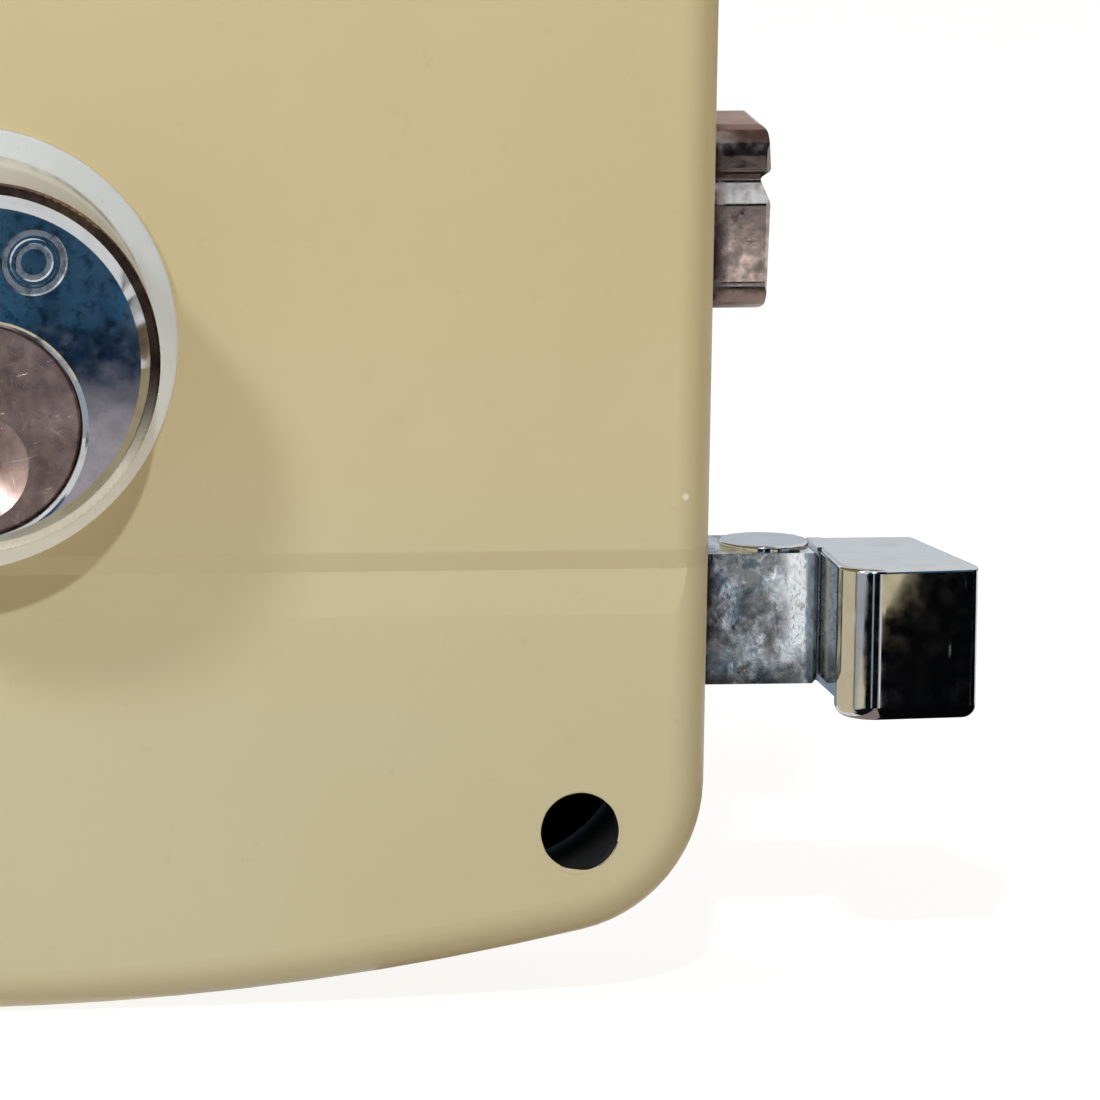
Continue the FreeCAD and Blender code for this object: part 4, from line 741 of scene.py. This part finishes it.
def makeFloor():
    material, tree = newMaterial("paleFloor")
    diffuse = add(tree, "BsdfDiffuse", {"Color": [studio["floorDiffuse"]] * 3 + [1.0]})
    seen = seenOnly(tree)
    shown = add(tree, "Math", {0: seen, 1: studio["floorGlow"]}, operation="MULTIPLY")
    strength = add(tree, "Math", {0: shown, 1: studio["floorBounce"]}, operation="MAXIMUM")
    tone = overlay(tree, linear(studio["ambientColour"]), studio["floorColour"], seen)
    glow = add(tree, "Emission", {"Color": tone, "Strength": strength})
    add(tree, "OutputMaterial", {"Surface": add(tree, "AddShader", {0: diffuse, 1: glow})})
    low = cadLow.z - studio["floorDrop"]
    half = studio["floorHalf"]
    stageMesh("floor", [(-half, -half, low), (half, -half, low), (half, half, low),
                        (-half, half, low)], [(0, 1, 2, 3)], material)


def shine(tree, tone, strength=1):
    # boards shine by themselves, so that no lamp changes what the mirrors show
    glow = add(tree, "Emission", {"Color": tone, "Strength": strength})
    add(tree, "OutputMaterial", {"Surface": glow})


def mirrorOnly(name, points, faces, material):
    # a board that only mirrors see: it tones a reflection and casts no shade
    piece = stageMesh(name, points, faces, material)
    for ray in ("camera", "diffuse", "shadow", "transmission", "volume_scatter"):
        setattr(piece, "visible_" + ray, False)


# dark sides of the room, from the camera round to the right: where each starts and ends in
# degrees, its height in metres and its patches in millimetres
walls = {
    "navyWall": {"colours": ("#182B42", "#3A6A8E", "#86BBC6"), "from": -25, "to": 60,
                 "height": 0.30, "cloud": 9},
    "blackWall": {"colours": ("#0B1016", "#0B1016", "#10161E"), "from": 60, "to": 95,
                  "height": 0.15, "cloud": 20},
    "brownWall": {"colours": ("#6E5C47", "#6E5C47", "#7E6C57"), "from": 95, "to": 180,
                  "height": 0.08, "cloud": 20},
}
room = {
    "radius": 0.42,
    "middleX": 0.03,
    "lift": 0.0002,  # above the lock's lowest point
    "step": 5,  # degrees of wall in one face
    "middle": {"low": 0.4, "high": 0.6, "detail": 5.0, "roughness": 0.6},
    "pale": {"low": 0.58, "high": 0.72, "detail": 4.0},
    "paleSize": 0.7,  # share of the middle tone's patches
}


def mottledGlow(name, colours, cloud):
    # a board painted in three tones that run into each other
    material, tree = newMaterial(name)
    place = add(tree, "TexCoord", {}, "Object")
    tone = stain(tree, place, linear(colours[0]), colours[1], size=cloud, **room["middle"])
    shine(tree, stain(tree, place, tone, colours[2], size=cloud * room["paleSize"],
                      **room["pale"]))
    return material


def makeWalls():
    low = cadLow.z + room["lift"]
    for name, wall in walls.items():
        points = []
        faces = []
        steps = int((wall["to"] - wall["from"]) / room["step"])
        for i in range(steps + 1):
            turn = math.radians(wall["from"] + (wall["to"] - wall["from"]) * i / steps)
            x = room["middleX"] + room["radius"] * math.sin(turn)
            y = -room["radius"] * math.cos(turn)
            points += [(x, y, low), (x, y, low + wall["height"])]
        for i in range(steps):
            faces.append((2 * i, 2 * i + 1, 2 * i + 3, 2 * i + 2))
        mirrorOnly(name, points, faces, mottledGlow(name, wall["colours"], wall["cloud"]))


# boards on the floor, in metres: each lies its lift above the lock's lowest point
cards = {
    "discCard": {"colour": "#BFB8BE", "far": "#182F47", "from": -0.255, "to": -0.335,
                 "ripple": 0.014, "rippleMm": 30.0, "rippleDetail": 4.0, "lift": 0.0006,
                 "outline": [(-0.40, -0.45), (0.119, -0.45), (0.119, -0.185),
                             (-0.40, -0.185)]},
    "sideCard": {"colour": "#B9C3CB", "lift": 0.0008,
                 "outline": [(-0.40, -0.185), (-0.035, -0.185), (-0.035, 0.05), (-0.40, 0.05)]},
    "shadeCard": {"colour": "#101419", "lift": 0.0010,
                  "outline": [(-0.035, -0.185), (0.07, -0.185), (0.07, -0.25), (0.112, -0.25),
                              (0.112, -0.09), (0.066, -0.09), (0.066, -0.02), (0.035, -0.02),
                              (0.035, -0.125), (-0.035, -0.125)]},
    "plugCard": {"colour": "#F0E4C4", "lift": 0.0010,
                 "outline": [(-0.035, -0.125), (0.035, -0.125), (0.035, -0.062),
                             (-0.035, -0.062)]},
    "mouthCard": {"colour": "#C3D2DE", "lift": 0.0010,
                  "outline": [(-0.035, -0.062), (0.035, -0.062), (0.035, 0.0), (-0.035, 0.0)]},
    "boltFootCard": {"colour": "#A2938E", "lift": 0.0010,
                     "outline": [(0.066, -0.09), (0.0785, -0.09), (0.0785, 0.06),
                                 (0.066, 0.06)]},
    "headFootCard": {"colour": "#050608", "lift": 0.0010,
                     "outline": [(0.0785, -0.09), (0.40, -0.09), (0.40, 0.03),
                                 (0.0785, 0.03)]},
    "headCard": {"colour": "#050608", "lift": 0.0012,
                 "outline": [(0.112, -0.289), (0.40, -0.289), (0.40, -0.09), (0.112, -0.09)]},
}
# upright boards: from and to are the ends of their feet, low and high their edges
uprights = {
    "backCard": {"colour": "#8799A8", "from": (0.03, 0.05), "to": (0.10, 0.05),
                 "low": -0.052, "high": -0.012},
    "slideTopCard": {"colour": "#CCD3DB", "from": (0.060, 0.05), "to": (0.0825, 0.05),
                     "low": -0.012, "high": 0.02},
    "boltTopCard": {"colour": "#B09C92", "from": (0.066, 0.05), "to": (0.0825, 0.05),
                    "low": 0.021, "high": 0.06},
    "headTopCard": {"colour": "#DDE3E7", "from": (0.0825, 0.05), "to": (0.11, 0.05),
                    "low": -0.012, "high": 0.02},
    "caseSideCard": {"colour": "#E6D9B8", "from": (0.0604, 0.0), "to": (0.0604, -0.025),
                     "low": -0.045, "high": -0.0175},
    # seen in the deadbolt's flat, from its foot upwards
    "boltPinkBoard": {"colour": "#FFEFE6", "from": (0.0866, -0.15), "to": (0.0985, -0.15),
                      "low": -0.0245, "high": -0.0157, "strength": 1.25},
    "boltNavyBoard": {"colour": "#141E33", "from": (0.0866, -0.15), "to": (0.0985, -0.15),
                      "low": -0.0157, "high": -0.0133},
    "boltEdgeBoard": {"colour": "#9AA7B8", "from": (0.080, -0.15), "to": (0.0866, -0.15),
                      "low": -0.0245, "high": -0.0133},
    "boltShadeBoard": {"colour": "#171216", "from": (0.060, -0.15), "to": (0.130, -0.15),
                       "low": -0.0133, "high": 0.157},
    "boltSkyBoard": {"colour": "#E6F3FC", "from": (0.060, -0.15), "to": (0.150, -0.15),
                     "low": 0.157, "high": 0.235, "strength": 1.2},
    "boltBrowBoard": {"colour": "#5C4A45", "from": (0.0655, -0.028), "to": (0.085, -0.028),
                      "low": 0.0255, "high": 0.033},
    # seen in the slide's front
    "slideLeftBoard": {"colour": "#C6CAD4", "from": (0.0813, -0.115), "to": (0.0854, -0.115),
                       "low": -0.050, "high": -0.0305},
    "slideMiddleBoard": {"colour": "#AFB4BA", "from": (0.0854, -0.115), "to": (0.0871, -0.115),
                         "low": -0.050, "high": -0.0305},
    "slideRightBoard": {"colour": "#FFFFFF", "from": (0.0871, -0.115), "to": (0.0915, -0.115),
                        "low": -0.050, "high": -0.0305, "strength": 1.4},
    # seen in the latch head's front
    "headBoard": {"colour": "#050608", "from": (0.060, -0.12), "to": (0.150, -0.12),
                  "low": -0.0521, "high": -0.02},
    "headLeftBoard": {"colour": "#07080B", "from": (0.026, -0.10), "to": (0.0752, -0.10),
                      "low": -0.0521, "high": -0.0305},
    # seen in the head's left side by way of the slide's front
    "headSideBoard": {"colour": "#B4C4CF", "from": (0.0510, -0.099), "to": (0.0565, -0.099),
                      "low": -0.050, "high": -0.0305},
}
# boards overhead, seen by the deadbolt's rounded top edge
overheads = {
    "boltOverCard": {"colour": "#A08B83", "x": (0.066, 0.085), "y": (-0.008, 0.06), "z": 0.06},
    "boltBrowCard": {"colour": "#5C4A45", "x": (0.0655, 0.085), "y": (-0.028, -0.0095),
                     "z": 0.033},
}
# cream board whose lower corner shows in the latch head's front: its outline in X and Z
creamBoard = {
    "colour": "#E8DAB4",
    "y": -0.06,
    "outline": [(0.0805, -0.0258), (0.0934, -0.0258), (0.0920, -0.0286), (0.0902, -0.0301),
                (0.0880, -0.0306), (0.0868, -0.0294), (0.0805, -0.0294)],
}


def makeCard(name, card, points):
    material, tree = newMaterial(name)
    tone = linear(card["colour"])
    if "far" in card:
        # the board turns to its far tone along a border that wanders
        place = add(tree, "TexCoord", {}, "Object")
        grain = add(tree, "TexNoise", {"Vector": place, "Scale": perMm(card["rippleMm"]),
                                       "Detail": card["rippleDetail"]})
        wave = add(tree, "Math", {0: grain, 1: card["ripple"]}, operation="MULTIPLY")
        away = add(tree, "SeparateXYZ", {"Vector": place}, "Y")
        border = add(tree, "Math", {0: away, 1: wave}, operation="ADD")
        fade = add(tree, "MapRange", {"Value": border,
                                      "From Min": card["from"] + card["ripple"] / 2,
                                      "From Max": card["to"] + card["ripple"] / 2})
        tone = overlay(tree, tone, card["far"], fade)
    shine(tree, tone, card.get("strength", 1))
    mirrorOnly(name, points, [tuple(range(len(points)))], material)


def makeCards():
    for name, card in cards.items():
        low = cadLow.z + card["lift"]
        makeCard(name, card, [(x, y, low) for x, y in card["outline"]])
    for name, card in overheads.items():
        (x0, x1), (y0, y1), z = card["x"], card["y"], card["z"]
        makeCard(name, card, [(x0, y0, z), (x1, y0, z), (x1, y1, z), (x0, y1, z)])
    for name, card in uprights.items():
        (x0, y0), (x1, y1), low, high = card["from"], card["to"], card["low"], card["high"]
        makeCard(name, card, [(x0, y0, low), (x1, y1, low), (x1, y1, high), (x0, y0, high)])
    makeCard("creamBoard", creamBoard,
             [(x, creamBoard["y"], z) for x, z in creamBoard["outline"]])


def makeWorld():
    world = bpy.data.worlds.new("studioWorld")
    bpy.context.scene.world = world
    world.use_nodes = True
    tree = world.node_tree
    tree.nodes.clear()
    way = add(tree, "TexCoord", {}, "Generated")
    side = add(tree, "SeparateXYZ", {"Vector": way}, "X")
    fall = add(tree, "MapRange", {"Value": side, "From Min": studio["ambientFrom"],
                                  "From Max": studio["ambientTo"], "To Min": 1.0,
                                  "To Max": 1.0 - studio["ambientFall"]})
    soft = add(tree, "Math", {0: fall, 1: studio["ambient"]}, operation="MULTIPLY")
    seen = seenOnly(tree)
    strength = add(tree, "Math", {0: seen, 1: soft}, operation="MAXIMUM")
    tone = overlay(tree, linear(studio["ambientColour"]), "#FFFFFF", seen)
    back = add(tree, "Background", {"Color": tone, "Strength": strength})
    add(tree, "OutputWorld", {"Surface": back})


lamps = {
    "windowLamp": {"to": (-0.613, -0.479, 0.628), "power": 2.1, "size": 0.10,
                   "colour": "#E6F2FF"},
    "upperLamp": {"to": (-0.125, -0.825, 0.552), "power": 1.95, "size": 0.022,
                  "colour": "#E6F2FF"},
}
lampTarget = (0.02, -0.028, -0.005)
lampDistance = 0.7  # metres from the target


def makeLamps():
    for name, lamp in lamps.items():
        data = bpy.data.lights.new(name, "AREA")
        data.shape = "DISK"
        data.size = lamp["size"]
        data.energy = lamp["power"]
        data.color = linear(lamp["colour"])[:3]
        piece = bpy.data.objects.new(name, data)
        bpy.context.scene.collection.objects.link(piece)
        toward = Vector(lamp["to"]).normalized()
        piece.location = Vector(lampTarget) + toward * lampDistance
        piece.rotation_euler = toward.to_track_quat("Z", "Y").to_euler()


shot = {
    "azimuth": -10.46,
    "elevation": 9.55,
    "roll": 1.11,
    "distance": 3.6,
    "aim": (0.04702, -0.028, -0.01633),
    "pixelsPerMm": 12.916,
    "pixels": 1100,
    "sensor": 36,
    "near": 0.05,
    "far": 50,
}


def makeCamera():
    data = bpy.data.cameras.new("photoCamera")
    camera = bpy.data.objects.new("photoCamera", data)
    bpy.context.scene.collection.objects.link(camera)
    side = math.radians(shot["azimuth"])
    up = math.radians(shot["elevation"])
    back = Vector((math.sin(side) * math.cos(up), -math.cos(side) * math.cos(up), math.sin(up)))
    camera.location = Vector(shot["aim"]) + back * shot["distance"]
    right = Vector((math.cos(side), math.sin(side), 0))
    turn = Matrix((right, back.cross(right), back)).transposed()
    camera.rotation_euler = (turn @ Matrix.Rotation(math.radians(shot["roll"]), 3, "Z")).to_euler()
    data.sensor_width = shot["sensor"]
    frameWidth = shot["pixels"] / shot["pixelsPerMm"] * mm
    data.lens = data.sensor_width * shot["distance"] / frameWidth
    data.clip_start = shot["near"]
    data.clip_end = shot["far"]
    bpy.context.scene.camera = camera


makeFloor()
makeWalls()
makeCards()
makeWorld()
makeLamps()
makeCamera()
bpy.context.scene.view_settings.view_transform = "Standard"
print("stage, lamps and camera made")
